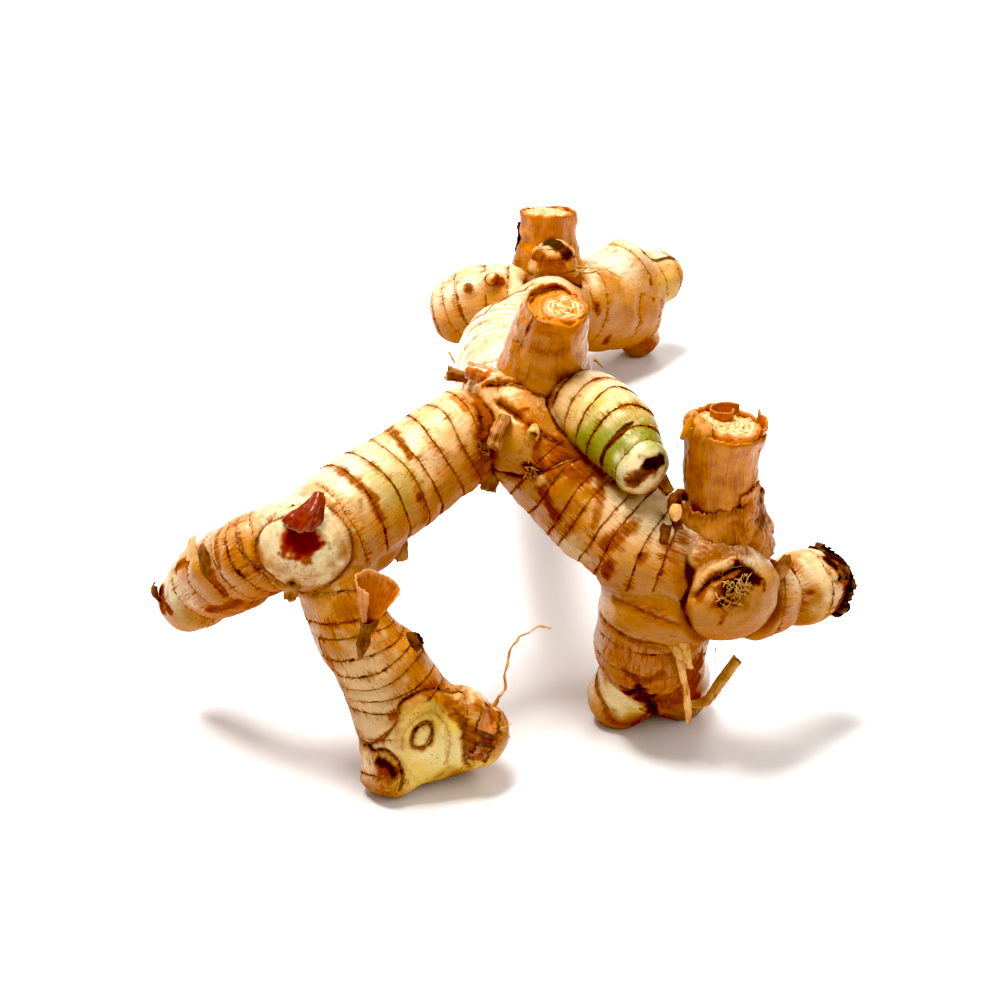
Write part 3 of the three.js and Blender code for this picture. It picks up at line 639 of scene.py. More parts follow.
# folds and torn edges: width, how far it stands up, groove depth, and the points it runs through
folds = [
    (0.55, 0.3, 0.35, along("leftBud", (5.4, 4), (7.1, -40), (9.4, -75), (15.9, -101), (16.1, -156), (18.3, 155),
                            (14.6, 117), (12.6, 80), (12.6, 51), (5.4, 4))),
    (0.4, 0.3, 0.3, [(-63.5, -158.5, 84), (-66.5, -160, 76), (-66, -162, 68), (-62.5, -164.5, 63.5)]),
    (0.8, 0.5, 0.7, [(-5.2, -127.4, 103.6), (-4.8, -131, 101), (-4.4, -133.4, 96.8)]),
    (0.85, 0.4, 0.8, [(-5.4, -118.5, 106), (-0.6, -120.6, 105.8), (5, -121.5, 105.3), (9.5, -122.6, 104.2),
                     (13.8, -122.8, 102.6)]),
    (0.7, 0.4, 0.5, [(-0.9, -127.7, 103.4), (3.4, -129.6, 100.4), (7, -132, 98.4), (12.4, -134.2, 95.4),
                     (17.4, -136, 93.3), (22.8, -138.4, 92.2)]),
    (0.7, 0.6, 0.6, [(-4.6, -133.9, 83.6), (0, -134.2, 83.2), (5.7, -137.4, 83.6), (12.8, -139.9, 86.8),
                     (18.5, -139.5, 89.6), (24, -138.8, 91)]),
    (0.4, 0.3, 0.3, [(13.5, -141.5, 83.5), (17.5, -142, 86.5), (23, -141.5, 89)]),
    (0.9, 0.3, 1.2, [(55, -164.4, 60.4), (57.6, -164.1, 63.8), (62, -163.3, 66.6), (68.7, -160.7, 67.9),
                     (72.6, -161, 65.2)]),
    (0.45, 0.3, 0.3, [(94.8, -139.5, 53.9), (96.3, -140.6, 50.6), (98.8, -138.8, 49)]),
    (0.6, 0.5, 0.5, [(-38.7, -173.5, 15.9), (-33.4, -179, 22.2), (-29.3, -179.5, 28.1), (-28.1, -178.7, 33.3),
                     (-24.5, -177, 35.2), (-21.2, -173.9, 35.1), (-15.5, -169, 33), (-10.9, -164.2, 28.6)]),
    (0.7, 0.4, 0.6, [(-39, -172.5, 17.5), (-36.8, -178.3, 16.9), (-33, -180.2, 18.2), (-29.5, -181, 15.5),
                     (-27.6, -181.5, 11), (-28.5, -181.8, 6.5)]),
    (0.5, 0.4, 0.9, [(-10.9, -164.2, 28.6), (-9.5, -170, 27.5), (-9.8, -174, 23.5), (-10.6, -176.4, 18),
                     (-9.6, -176.8, 12), (-8.5, -175.5, 7)]),
    (0.5, 0.5, 0.4, [(-13, -172.5, 29), (-11, -174.4, 24), (-9.6, -174.8, 18), (-7.8, -174.4, 12.5)]),
    (0.3, 0.1, 0.15, [(-27.7, -180.2, 19.6), (-27.1, -180.3, 24.8), (-23.9, -178.7, 28.8), (-19.2, -176.2, 29.2),
                      (-15.6, -175.7, 24.7), (-14.5, -177, 20.6), (-15.7, -178, 13.2)]),
    (0.5, 0.35, 0.5, [(29, -145, 24.5), (34, -149.5, 25.2), (39, -154, 26.6), (43, -155.8, 28.2)]),
    (0.5, 0.35, 0.5, [(32.5, -148, 44), (37, -155, 43.4), (43, -160, 42.8), (50, -161.6, 42)]),
    (0.5, 0.35, 0.5, [(34.4, -152.9, 52.7), (37.6, -156.9, 53.1), (41.2, -160, 52.4), (45.3, -162.6, 51.6),
                     (50.5, -163.6, 50.4)]),
    (0.5, 0.2, 1.3, [(42.6, -154, 22.6), (44.9, -151.7, 16.6), (44.7, -147.8, 9.6), (43.5, -145, 4)]),
    (0.35, 0.3, 0.4, [(44.5, -153.6, 22.5), (50, -151.5, 19), (56.5, -147, 17.5)]),
    (0.35, 0.3, 0.4, [(44.5, -153.2, 20.5), (50, -149.8, 15.5), (56.5, -144.5, 12.5)]),
    (0.3, 0.3, 0.3, [(44.8, -152.4, 18.5), (49.5, -148.5, 12), (54.5, -142.5, 7.5)]),
    (0.3, 0.3, 0.3, [(45.5, -154.5, 24.5), (51, -153, 23), (57.5, -149, 23)]),
    (0.5, 0.3, 0.6, [(72.5, -155.5, 58.5), (75.5, -155.5, 52), (75.5, -155, 46)]),
]
eyeRing = [(-22.0 + 2.8 * math.cos(t) + 0.8 * math.sin(t), -179.5 + 1.2 * math.cos(t) + 0.6 * math.sin(t),
            23.5 + 3.8 * math.sin(t)) for t in [k * math.pi / 6 for k in range(14)]]  # the left foot's eye
folds.append((1.1, 0.5, 0.35, eyeRing))


def runOf(points):
    # close points along a route
    return centreLine(points, 0.7)[0] if len(points) > 1 else np.array(points, float)


markReach = 14  # a mark is felt no further than this
farOff = 99.0


def reach(spots, run):
    # distance from every spot to a run of points, far ones left out
    gap = np.full(len(spots), farOff)
    near = np.all((spots > run.min(0) - markReach) & (spots < run.max(0) + markReach), axis=1)
    if near.any():
        close = np.full(near.sum(), 1e9)
        for point in run:
            close = np.minimum(close, ((spots[near] - point) ** 2).sum(1))
        gap[near] = np.sqrt(close)
    return gap


class Web:
    # the edges of a mesh, to even out values over it

    def __init__(self, data):
        pairs = np.zeros(len(data.edges) * 2, np.int64)
        data.edges.foreach_get("vertices", pairs)
        pairs = pairs.reshape(-1, 2)
        self.here = np.concatenate([pairs[:, 0], pairs[:, 1]])
        self.there = np.concatenate([pairs[:, 1], pairs[:, 0]])
        self.count = len(data.vertices)
        self.degree = np.maximum(np.bincount(self.here, minlength=self.count), 1)

    def steepness(self, values, spots):
        run = np.linalg.norm(spots[self.here] - spots[self.there], axis=1)
        worst = np.zeros(self.count)
        np.maximum.at(worst, self.here, np.abs(values[self.here] - values[self.there]) / np.maximum(run, 1e-6))
        return worst

    def even(self, values, weight, rounds):
        for _ in range(rounds):
            columns = values.reshape(self.count, -1)
            mean = np.column_stack([np.bincount(self.here, columns[self.there, k], self.count) / self.degree
                                    for k in range(columns.shape[1])])
            step = (mean - columns) * np.reshape(weight, (-1, 1))
            values = (columns + step).reshape(values.shape)
        return values


def vertexArray(data, field):
    values = np.zeros(len(data.vertices) * 3)
    data.vertices.foreach_get(field, values)
    return values.reshape(-1, 3)


def moveSkin(data, spots):
    # puts the corners where the spots are, none of them below the ground
    spots[:, 2] = np.maximum(spots[:, 2], 0)
    data.vertices.foreach_set("co", ((spots + shift) * mm).ravel())
    data.update()


def onSkin(tree, point):
    # the nearest spot of the skin, its normal and its face
    spot, normal, face, _ = tree.find_nearest(Vector((np.asarray(point) + shift) * mm))
    return np.array(spot) / mm - shift, np.array(normal), face


skinMesh = dict(sides=40, voxel=0.78, relax=0.5, rounds=4)


def makeBody():
    # the union of all limbs as one skin
    points, faces = [], []
    for entry in limbs.values():
        p, f = tubeMesh(entry["limb"].rings(skinMesh["sides"]))
        base = sum(len(q) for q in points)
        points.append(p)
        faces += [tuple(k + base for k in face) for face in f]
    body = meshPiece("galangal_body", np.vstack(points), faces)
    pick(body)
    bpy.ops.object.mode_set(mode="EDIT")
    bpy.ops.mesh.select_all(action="SELECT")
    bpy.ops.mesh.normals_make_consistent(inside=False)
    bpy.ops.object.mode_set(mode="OBJECT")
    body.data.remesh_voxel_size = skinMesh["voxel"] * mm
    body.data.remesh_voxel_adaptivity = 0
    bpy.ops.object.voxel_remesh()
    relax = body.modifiers.new("relax", "SMOOTH")
    relax.factor = skinMesh["relax"]
    relax.iterations = skinMesh["rounds"]
    bpy.ops.object.modifier_apply(modifier="relax")
    print("body skin", len(body.data.polygons))
    return body


past = dict(start=-60.0, end=90.0)  # how far the first and last segments reach past a limb's ends
apart = dict(ring=40, local=50)  # keeps the patterns of two limbs apart


def survey(spots, wobble):
    # which limb each spot belongs to, and where it lies between that limb's scars
    count = len(spots)
    info = dict(best=np.full(count, 1e9), second=np.full(count, 1e9), ring=np.zeros(count),
                pitch=np.full(count, 8.0), local=np.zeros((count, 3)), owner=np.zeros(count, int),
                rival=np.zeros(count, int), way=np.zeros((count, 3)), mark=np.zeros(count))
    for number, entry in enumerate(limbs.values()):
        skin, mark, x, y, way = entry["limb"].measure(spots)
        skin = np.abs(skin)
        lean = entry.get("lean", (0, 0))
        place = mark + lean[0] * x + lean[1] * y + wobble
        if "down" in entry:
            place = entry["down"] - spots[:, 2] + wobble
        scars = np.array([past["start"]] + list(entry["rings"]) + [entry["limb"].length + past["end"]])
        index = np.interp(place, scars, np.arange(len(scars)))
        gap = np.diff(scars)[np.clip(index.astype(int), 0, len(scars) - 2)]
        wins = skin < info["best"]
        rival = np.where(skin < info["second"], number, info["rival"])
        info["rival"] = np.where(wins, info["owner"], rival)
        info["second"] = np.where(wins, info["best"], np.minimum(info["second"], skin))
        info["best"] = np.where(wins, skin, info["best"])
        info["owner"] = np.where(wins, number, info["owner"])
        info["ring"] = np.where(wins, index + number * apart["ring"], info["ring"])
        info["pitch"] = np.where(wins, gap, info["pitch"])
        info["mark"] = np.where(wins, mark, info["mark"])
        info["local"][wins] = np.column_stack([x, y, place + number * apart["local"]])[wins]
        info["way"][wins] = way[wins]
    joins = [set(entry["joins"]) for entry in limbs.values()]
    soft = np.array([[bool(a & b) for b in joins] for a in joins])
    info["soft"] = soft[info["owner"], info["rival"]]
    info["kin"] = soft | np.eye(len(joins), dtype=bool)
    info["seam"] = info["second"] - info["best"]
    return info


joinBlend = dict(near=2.5, far=8, weight=0.5, rounds=90)  # where limbs run into each other without a crease
segment = dict(swell=0.34, swellOver=3.8, drop=0.26, dropOver=1.0, lip=0.18, lipOver=1.7)
scarWobble = ((26, 1, 0.5), (9, 2, 0.08))  # size, seed and shift along the limb
lumpSizes = ((24, 3, 0.35), (9, 4, 0.15))  # size, seed and height
foldWall = dict(start=0.2, end=1.5, ridge=0.25, ridgeAt=2.2, ridgeWidth=1.1)
markEdges = ((5, 5, 0.16), (2.2, 6, 0.1))  # size, seed and share of the mark's width
sunlit = np.array([-0.22, 0.1, 0.97])  # the way the key lamp falls from: skin facing it is painted pale cream, skin turned away is painted darker orange as painted shade


def detailBody(body):
    # blends, segments, folds, lumps and hollows, and the values that the skin's material reads
    data = body.data
    web = Web(data)
    spots = vertexArray(data, "co") / mm - shift
    info = survey(spots, 0 * spots[:, 0])
    merged = np.zeros(len(spots))
    for x, y, z, size in calm:
        merged = np.maximum(merged, 1 - smooth(0.6, 1.2, np.linalg.norm(spots - (x, y, z), axis=1) / size))
    close = 1 - smooth(joinBlend["near"], joinBlend["far"], info["seam"])
    blend = web.even(np.maximum(info["soft"], merged) * close, 0.5, 4)
    spots = web.even(spots, blend * joinBlend["weight"], joinBlend["rounds"])
    moveSkin(data, spots)
    bpy.context.view_layer.update()
    normals = vertexArray(data, "normal")
    before = spots

    # every mark and fold is laid on the skin
    tree = BVHTree.FromObject(body, bpy.context.evaluated_depsgraph_get())
    wobble = sum(waves(spots, size, seed) * rise for size, seed, rise in scarWobble)
    info = survey(spots, wobble)
    corner = np.zeros(len(data.polygons), int)
    data.polygons.foreach_get("loop_start", corner)
    vertex = np.zeros(len(data.loops), int)
    data.loops.foreach_get("vertex_index", vertex)

    def laid(points):
        # a route laid on the skin, and which corners belong to the limbs that it runs over
        spotsThere, _, faces = zip(*[onSkin(tree, point) for point in runOf(points)])
        kin = info["kin"][info["owner"][vertex[corner[list(faces)]]]].any(0)
        return np.array(spotsThere), kin[info["owner"]]

    markRuns = [(kind, strength, size) + laid(points)
                for kind, rows in marks.items() for strength, size, points in rows]
    foldRuns = [(width, rise, depth) + laid(points) for width, rise, depth, points in folds]
    slope = web.even(web.steepness(info["seam"], spots), 0.5, 10)
    info["seam"] = info["seam"] / np.clip(slope, 0.25, 1.1)
    seam, ring = web.even(info["seam"], 0.5, 3), info["ring"]
    hard = web.even(np.where(info["soft"], 0.0, 1.0) * (1 - merged), 0.5, 4)
    bare = np.zeros(len(spots))
    for kind, _, size, run, _ in markRuns:
        if kind == "bare":
            bare = np.maximum(bare, 1 - smooth(0.8, 1.0, reach(spots, run) / size))
    inner = smooth(0.9, 2.4, seam) * (1 - bare)
    info["inner"] = inner

    # each segment swells a little and steps down at the next scar
    phase = ring - np.floor(ring)
    off = phase * info["pitch"]
    ahead = (1 - phase) * info["pitch"]
    swell = segment["swell"] * smooth(0, segment["swellOver"], np.minimum(off, ahead))
    swell = swell - segment["drop"] * (1 - smooth(0, segment["dropOver"], off))
    lip = segment["lip"] * (1 - smooth(0, segment["lipOver"], ahead))
    broad, small = (waves(spots, size, seed) * rise for size, seed, rise in lumpSizes)
    crack = web.even(-1.0 * (1 - smooth(0, 1.5, seam)) * hard, 0.5, 2)
    height = (swell + lip) * inner + (broad + small) + crack
    for depth, run in [(fold[2], fold[3]) for fold in foldRuns]:
        gap = reach(before, run)
        ridge = np.exp(-((gap - foldWall["ridgeAt"]) / foldWall["ridgeWidth"]) ** 2)
        groove = 1 - smooth(foldWall["start"], foldWall["end"], gap)
        height = height - depth * groove + foldWall["ridge"] * depth * ridge
    for name, mark, spread, amount in bulges:
        here = info["owner"] == list(limbs).index(name)
        height = height + here * smooth(0.2, 2.5, seam) * amount * np.exp(-((info["mark"] - mark) / spread) ** 2)
    for x, y, z, size, depth in pits:
        centre = onSkin(tree, (x, y, z))[0]
        gap = np.linalg.norm(before - centre, axis=1) * (1 + 0.12 * waves(spots, 5, 8))
        height = height - depth * (1 - smooth(0.2, 1.0, gap / size))
    spots = spots + normals * height[:, None]
    moveSkin(data, spots)

    # what the material reads: the scars, the seams, the marks with ragged edges, and the painted shade on skin turned
    # away from the lamp
    tints = dict.fromkeys(marks, 0)
    ragged = 1
    for size, seed, share in markEdges:
        ragged = ragged + share * waves(before, size, seed)
    for kind, strength, size, run, kin in markRuns:
        gap = reach(before, run) * ragged / size
        tints[kind] = np.maximum(tints[kind], kin * strength * (1 - smooth(0.35, 1.45, gap)))
    for width, run in [(fold[0], fold[3]) for fold in foldRuns]:
        gap = reach(before, run) * ragged
        tints["brown"] = np.maximum(tints["brown"], min(0.6, width + 0.1) * (1 - smooth(0.3, 1.2 + width, gap)))
        black = np.clip((width - 0.22) * 2.2, 0.1, 0.9)
        tints["dark"] = np.maximum(tints["dark"], black * (1 - smooth(0.05, 0.35 + width * 0.8, gap)))
    ruddy = np.array([warmth.get(name, 0.0) for name in limbs])[info["owner"]]
    # painted shade: skin turned away from the lamp is painted warmer and darker, and each limb's warmth is added on
    # top
    low = np.clip(0.88 - normals @ sunlit, 0, 1.5) / 1.2
    paintedShadeAndWarmth = web.even(np.clip(low + ruddy, 0, 1), 0.5, 12)
    attach(body, ring=ring, pitch=info["pitch"], seam=seam, hard=hard, local=info["local"],
           tintA=np.column_stack([tints["brown"], np.maximum(paintedShadeAndWarmth, tints["orange"]), tints["dark"]]),
           tintB=np.column_stack([tints["green"], tints["yellow"], tints["pale"]]),
           tintC=np.column_stack([tints["red"], bare, smooth(0.1, -0.75, normals[:, 2])]))
    data.shade_smooth()
    return spots, vertexArray(data, "normal"), info


# places where neighbouring parts run into each other without a crease: centre and size
calm = [(62, -154, 71.5, 13), (70, -151, 69, 10), (52, -152, 74, 8)]
# lobes and waists: limb, distance along, spread and height
bulges = [("rightBranch", 10, 5, 1.5), ("rightBranch", 19.5, 2.2, -3.2), ("rightBranch", 28, 5, 1.4),
          ("backRight", 33, 3, -0.8), ("backLeft", 30, 3, -0.5), ("leftBranch", 21, 2, -0.5),
          ("leftBranch", 27, 4, 0.5)]
# hollows pressed into the skin: place, size and depth
pits = [
    (68.5, -158, 69.5, 7, -1.0), (65.8, -165.6, 61.6, 5.8, 2.4), (62.1, -166.8, 58.9, 1.9, 2.0),
    (69.6, -162.8, 65.2, 3.6, 1.4),
    (59.0, -165.0, 62.4, 2.0, 0.7), (42.4, -151.3, 95.8, 2.4, 0.3),
    (42.0, -154.4, 24.8, 3.8, 3.2), (-33.0, -181.0, 12.6, 3.0, 0.6), (-22.0, -179.6, 23.5, 2.6, 0.35),
    (-54.7, -168.6, 79.5, 4.6, 0.5), (-4.8, -134.6, 91.5, 2.2, 0.6), (40.6, -152.4, 95.4, 2.4, 0.5),
    (39.9, -157.6, 69.0, 1.6, 0.6), (30.5, -153.8, 61.5, 1.6, 0.6), (22.5, 85.0, 62.5, 3.0, 1.0),
    (16.5, 82.5, 59.0, 2.2, 0.6),
    (37.0, 84.5, 37.0, 1.5, 0.6), (41.2, 91.8, 21.5, 1.6, 0.7), (59.1, 108.9, 37.8, 1.5, 0.6),
    (96.8, -140.0, 50.0, 2.0, 0.8),
]
# limbs painted warmer and darker than the rest, on top of the painted shade: partly their own warmer skin, partly
# painted shade, as on the junction front
warmth = {"rightArm": 0.08, "rightNode": 0.12, "rightFoot": 0.28, "rightFootHeel": 0.24, "leftLeg": 0.24,
          "leftBranch": 0.4, "rightBranch": 0.1, "backRight": 0.12, "spine": 0.1, "leftFootHeel": 0.15,
          "junctionFront": 0.1, "backBud": 0.2, "backKnob": 0.1, "stemSeat": 0.25, "nodeCorner": 0.2}


torn = dict(height=0.3, most=1.8, sunk=0.12, back=0.08, foldSunk=0.1)  # torn edges, in millimetres


def fringe(body, spots, normals, info):
    # torn edges of old leaf sheaths, standing up along every scar and fold
    data = body.data
    corners = np.zeros(len(data.polygons) * 4, int)
    data.polygons.foreach_get("vertices", corners)
    quads = corners.reshape(-1, 4)
    ring, owner, inner = info["ring"], info["owner"], info["inner"]
    low, high = ring[quads].min(1), ring[quads].max(1)
    same = (owner[quads] == owner[quads][:, :1]).all(1) & (inner[quads].min(1) > 0.05)
    picked = quads[same & (np.floor(low) < np.floor(high)) & (high - low < 1)]
    points, faces, cuts = [], [], []
    for quad in picked:
        level = np.floor(ring[quad].max())
        cut = []
        for a, b in zip(quad, np.roll(quad, -1)):
            ra, rb = ring[a] - level, ring[b] - level
            if (ra < 0) != (rb < 0):
                t = ra / (ra - rb)
                cut.append(np.concatenate([f[a] * (1 - t) + f[b] * t for f in
                                           (spots, normals, info["way"], inner[:, None])]))
        if len(cut) == 2:
            cuts.append(cut)
    cuts = np.array(cuts).reshape(-1, 10)
    place, normal, way, keep = cuts[:, :3], cuts[:, 3:6], cuts[:, 6:9], cuts[:, 9]
    swell = waves(place, 11, 22) * 0.9 + waves(place, 1.6, 21) * 0.5 - 0.25
    height = torn["height"] * np.clip(swell, 0, torn["most"])
    height = height * keep * smooth(-0.5, 0.6, waves(place, 16, 23))
    base = place - normal * torn["sunk"] - way * torn["back"]
    tip = place + normal * (0.03 + height * 0.4)[:, None] + way * (0.06 + height * 0.9)[:, None]
    for i in range(0, len(cuts), 2):
        n = 2 * i
        points += [base[i], base[i + 1], tip[i + 1], tip[i]]
        faces.append((n, n + 1, n + 2, n + 3))

    tree = BVHTree.FromObject(body, bpy.context.evaluated_depsgraph_get())
    for width, rise, _, route in folds:
        run = centreLine(route, 0.6)[0]
        spotsHere, normalsHere, _ = (np.array(part) for part in zip(*[onSkin(tree, spot) for spot in run]))
        step = np.gradient(spotsHere, axis=0)
        step /= np.maximum(np.linalg.norm(step, axis=1), 1e-6)[:, None]
        across = np.cross(normalsHere, step)
        thick = width * (0.6 + 0.35 * waves(spotsHere, 5, 31) + 0.2 * waves(spotsHere, 1.3, 32))
        fade = np.minimum(np.arange(len(run)), np.arange(len(run))[::-1]) / 5.0
        thick = np.clip(thick, 0.15, 2) * np.clip(fade, 0.1, 1)
        first = len(points)
        for i in range(len(run)):
            p, n, a, w = spotsHere[i], normalsHere[i], across[i], thick[i]
            foot = p - n * torn["foldSunk"]
            points += [foot - a * w * 0.5, p + n * (0.05 + rise * w * 0.5), foot + a * w * 0.5]
        for i in range(len(run) - 1):
            k = first + 3 * i
            faces += [(k, k + 1, k + 4, k + 3), (k + 1, k + 2, k + 5, k + 4)]
    piece = meshPiece("scar_fringe", np.array(points), faces, "skin", smoothShade=False)
    g = Graph("scar_fibre")
    spot = g.place()
    tone = g.noise(spot, 700, 3, 0.6)
    g.color = g.mix(g.ramp(tone, 0.35, 0.7), paint(136, 66, 18), paint(76, 30, 8))
    g.lay(g.ramp(g.noise(spot, 130, 2, 0.5), 0.45, 0.7) * 0.7, 180, 108, 38)
    piece.data.materials.append(g.set(Base_Color=g.color, Roughness=0.6))
    print("fringe", len(faces))


def skinMaterial():
    g = Graph("galangal_skin")
    place = g.place()
    local = g.attribute("local", out=1)
    ring, pitch, seam, hard = (g.attribute(name) for name in ("ring", "pitch", "seam", "hard"))
    crack = g.ramp(seam, 1.15, 0.4) * g.ramp(hard, 0.15, 0.5)
    # hollow: painted shade near the hard seams between limbs, used for colour and for the matt share
    hollow = g.ramp(seam, 6.0, 0.3) * hard
    brown, paintedShadeAndWarmth, dark = g.split(g.attribute("tintA", out=1))
    green, yellow, pale = g.split(g.attribute("tintB", out=1))
    red, bare, under = g.split(g.attribute("tintC", out=1))

    phase = g.fract(ring)
    off = phase * pitch
    ahead = (1 - phase) * pitch
    inner = g.ramp(seam, 0.9, 2.2) * (1 - bare)
    near = g.least(off, ahead)

    # long fibres run along the limb, between the scars
    fibre = g.fibres(local, (1.5, 1.5, 0.09), 3, 0.6)
    fine = g.fibres(local, (4.5, 4.5, 0.35), 2, 0.6)
    cloud = g.noise(place, 60, 3, 0.55)
    patch = g.noise(g.added(place, (3, 1, 2)), 150, 4, 0.62)
    grain = g.noise(place, 850, 3, 0.65)
    uneven = g.fibres(local, (0.3, 0.3, 0.05), 3, 0.65)

    streak = g.fibres(local, (1.3, 1.3, 0.06), 3, 0.6)
    which = g.random(g.floor(ring + 0.5) + 0.37)

    tone = g.ramp(cloud + (fibre - 0.5) * 0.35, 0.3, 0.7)
    g.color = g.mix(tone, paint(240, 221, 186), paint(224, 184, 124))
    g.lay(g.random(g.floor(ring)) * 0.3, 206, 150, 78)
    # painted shade: skin turned from the lamp, and the warmer limbs, get orange and deep orange-brown paint
    shade = g.clamp(paintedShadeAndWarmth * 1.1 + (cloud - 0.5) * 0.5 + (fibre - 0.5) * 0.2)
    g.lay(g.ramp(shade, 0.02, 0.8) * 0.95, 190, 122, 38)
    g.lay(g.ramp(shade, 0.6, 1.0) * 0.8, 150, 86, 18)
    g.lay(g.ramp(off, 3.2, 0.1) * inner * (0.2 + 0.5 * g.ramp(patch, 0.4, 0.62)), 180, 98, 18)
    g.lay(g.ramp(ahead, 1.8, 0.1) * inner * 0.3, 196, 120, 36)
    g.lay(g.ramp(fine, 0.5, 0.75) * 0.3, 160, 86, 18)
    g.lay(g.ramp(patch + (streak - 0.5) * 0.4, 0.5, 0.75) * 0.5, 156, 78, 10)

    # thin wandering lines along the fibres, and faint rings between the scars
    vein = g.absolute(g.fibres(local, (0.42, 0.42, 0.1), 3, 0.6) - 0.5)
    g.lay(g.ramp(vein, 0.022, 0.004) * g.ramp(patch, 0.42, 0.6) * 0.6, 132, 64, 10)
    between = g.absolute(g.fract(ring * 3 + (uneven - 0.5) * 1.2) - 0.5) * pitch
    g.lay(g.ramp(between, 0.35, 0.05) * g.ramp(streak, 0.5, 0.62) * inner * 0.4, 150, 80, 18)

    # tinted places: mostly the skin's own patches; some pale marks are painted light and some brown and dark marks
    # painted shade, as noted in the marks table
    g.lay(yellow * 0.9, 208, 174, 84)
    g.lay(green * (0.85 + 0.4 * (fibre - 0.5)), 114, 126, 8)
    g.lay(pale * (0.9 + 0.3 * (cloud - 0.5)), 226, 208, 160)
    soft = brown + (streak - 0.5) * 0.9 + (fine - 0.5) * 0.4 + (patch - 0.5) * 0.35 + (grain - 0.5) * 0.25
    g.lay(g.ramp(soft, 0.0, 0.85) * g.ramp(brown, 0.0, 0.3) * 0.85, 150, 70, 8)
    g.lay(g.ramp(soft, 0.5, 1.2) * 0.85, 78, 32, 6)
    g.lay(g.ramp(red + (patch - 0.5) * 0.12, 0.05, 0.7), 150, 56, 4)
    g.lay(g.ramp(red + (patch - 0.5) * 0.3, 0.55, 1.0) * 0.85, 92, 26, 4)
    deep = dark + (patch - 0.5) * 0.2 + (grain - 0.5) * 0.25
    g.lay(g.ramp(deep, 0.15, 0.85) * g.ramp(dark, 0.0, 0.3) * 0.95, 36, 15, 7)

    # scars: thin, dark and uneven lines, with brown smears along the fibres here and there
    width = 0.09 + 0.3 * g.ramp(uneven, 0.42, 0.74)
    line = g.ramp(near / width, 1.4, 0.35) * inner
    strength = (0.35 + 0.65 * g.ramp(uneven, 0.3, 0.58)) * (0.45 + 0.55 * g.ramp(which, 0.05, 0.5))
    spread = 0.25 + 3.0 * g.ramp(streak, 0.44, 0.68)
    margin = g.ramp(near / spread, 1.0, 0.1) * g.ramp(patch + (fine - 0.5) * 0.3, 0.36, 0.62) * inner
    g.lay(g.ramp(near, 0.7, 0.05) * inner * 0.4 * (0.4 + 0.6 * which), 160, 82, 16)
    g.lay(margin * 0.75, 130, 58, 8)
    g.lay(line * strength, 84, 32, 5)
    # painted shade: a wide brown darkening out to 6 mm from the hard seams, where shade gathers in the crease; partly
    # the browner skin there
    g.lay(hollow * (0.35 + 0.6 * g.ramp(patch, 0.3, 0.6)), 136, 70, 12)
    g.lay(crack * 0.95, 52, 20, 4)
    nick = g.fibres(local, (1.7, 1.7, 0.9), 2, 0.5)
    g.lay(g.ramp(nick, 0.67, 0.73) * 0.75, 98, 44, 8)
    g.lay(g.ramp(grain, 0.66, 0.76) * 0.35, 124, 62, 16)

    # gloss, relief, and the matt share: worn places, scars, seams and undersides
    worn = g.most(g.most(margin, g.ramp(soft, 0.4, 0.9) * g.ramp(brown, 0.0, 0.3)),
                  g.most(crack, g.most(dark, red)))
    rough = 0.14 + fine * 0.14 + patch * 0.12
    step = g.ramp(off, 0.6, 0.0) * -0.6 + g.ramp(ahead, 0.8, 0.0) * 0.3
    height = step * inner * 0.4 + fibre * 0.2 + fine * 0.1 + grain * 0.03 - line * 0.2
    height = height - g.ramp(nick, 0.69, 0.74) * 0.15 + worn * (grain - 0.5) * 0.6
    normal = g.bump(height, 0.8, 0.8 * mm)
    matt = g.ramp(g.most(worn, g.most(line * strength, hollow * 0.5)), 0.04, 0.45)
    g.matt(g.most(matt, under * 0.8), g.color, normal)
    return g.set(Base_Color=g.color, Roughness=rough, Normal=normal, Specular_IOR_Level=0.5,
                 Specular_Tint=(1, 0.82, 0.58, 1))


def rowOf(points, count):
    # a number of points, evenly spaced on a smooth line
    line, marks = centreLine(points, 0.25)
    want = np.linspace(0, marks[-1], count)
    return np.column_stack([np.interp(want, marks, line[:, k]) for k in range(3)])


def loft(rows, across, down):
    # a grid of points through rows of points, root end first
    ribs = [rowOf(row, across) for row in rows]
    return np.array([rowOf([rib[j] for rib in ribs], down) for j in range(across)]).transpose(1, 0, 2)


def gridNormals(grid):
    normal = np.cross(np.gradient(grid, axis=1), np.gradient(grid, axis=0))
    return normal / np.maximum(np.linalg.norm(normal, axis=2), 1e-9)[:, :, None]


def sheetPiece(name, grid, slot, look, thick, crumple, seed, tint=None, instead=None):
    # a thin crumpled sheet from a grid of points; instead names the CAD node that it stands for
    rows, cols = grid.shape[:2]
    flat = grid.reshape(-1, 3)
    bump = waves(flat, 7, seed) * 0.7 + waves(flat, 2.4, seed + 1) * 0.35
    flat = flat + gridNormals(grid).reshape(-1, 3) * (bump * crumple)[:, None]
    piece = meshPiece(name, flat, gridFaces(rows, cols, closed=False), slot)
    wide = np.linalg.norm(np.diff(grid, axis=1), axis=2).sum(1).max()
    tall = np.linalg.norm(np.diff(grid, axis=0), axis=2).sum(0).max()
    u, v = np.meshgrid(np.linspace(0, wide, cols), np.linspace(0, tall, rows))
    attach(piece, local=np.column_stack([u.ravel(), u.ravel() * 0 + seed * 7.0, v.ravel()]),
           tint=np.zeros((rows * cols, 3)) if tint is None else tint.reshape(-1, 3))
    shell = piece.modifiers.new("shell", "SOLIDIFY")
    shell.thickness = thick * mm
    shell.offset = 0
    pick(piece)
    bpy.ops.object.modifier_apply(modifier="shell")
    dress(piece, look, instead)


def dress(piece, look, instead=None):
    piece.data.materials.append(looks[look])
    if instead:
        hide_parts(instead)


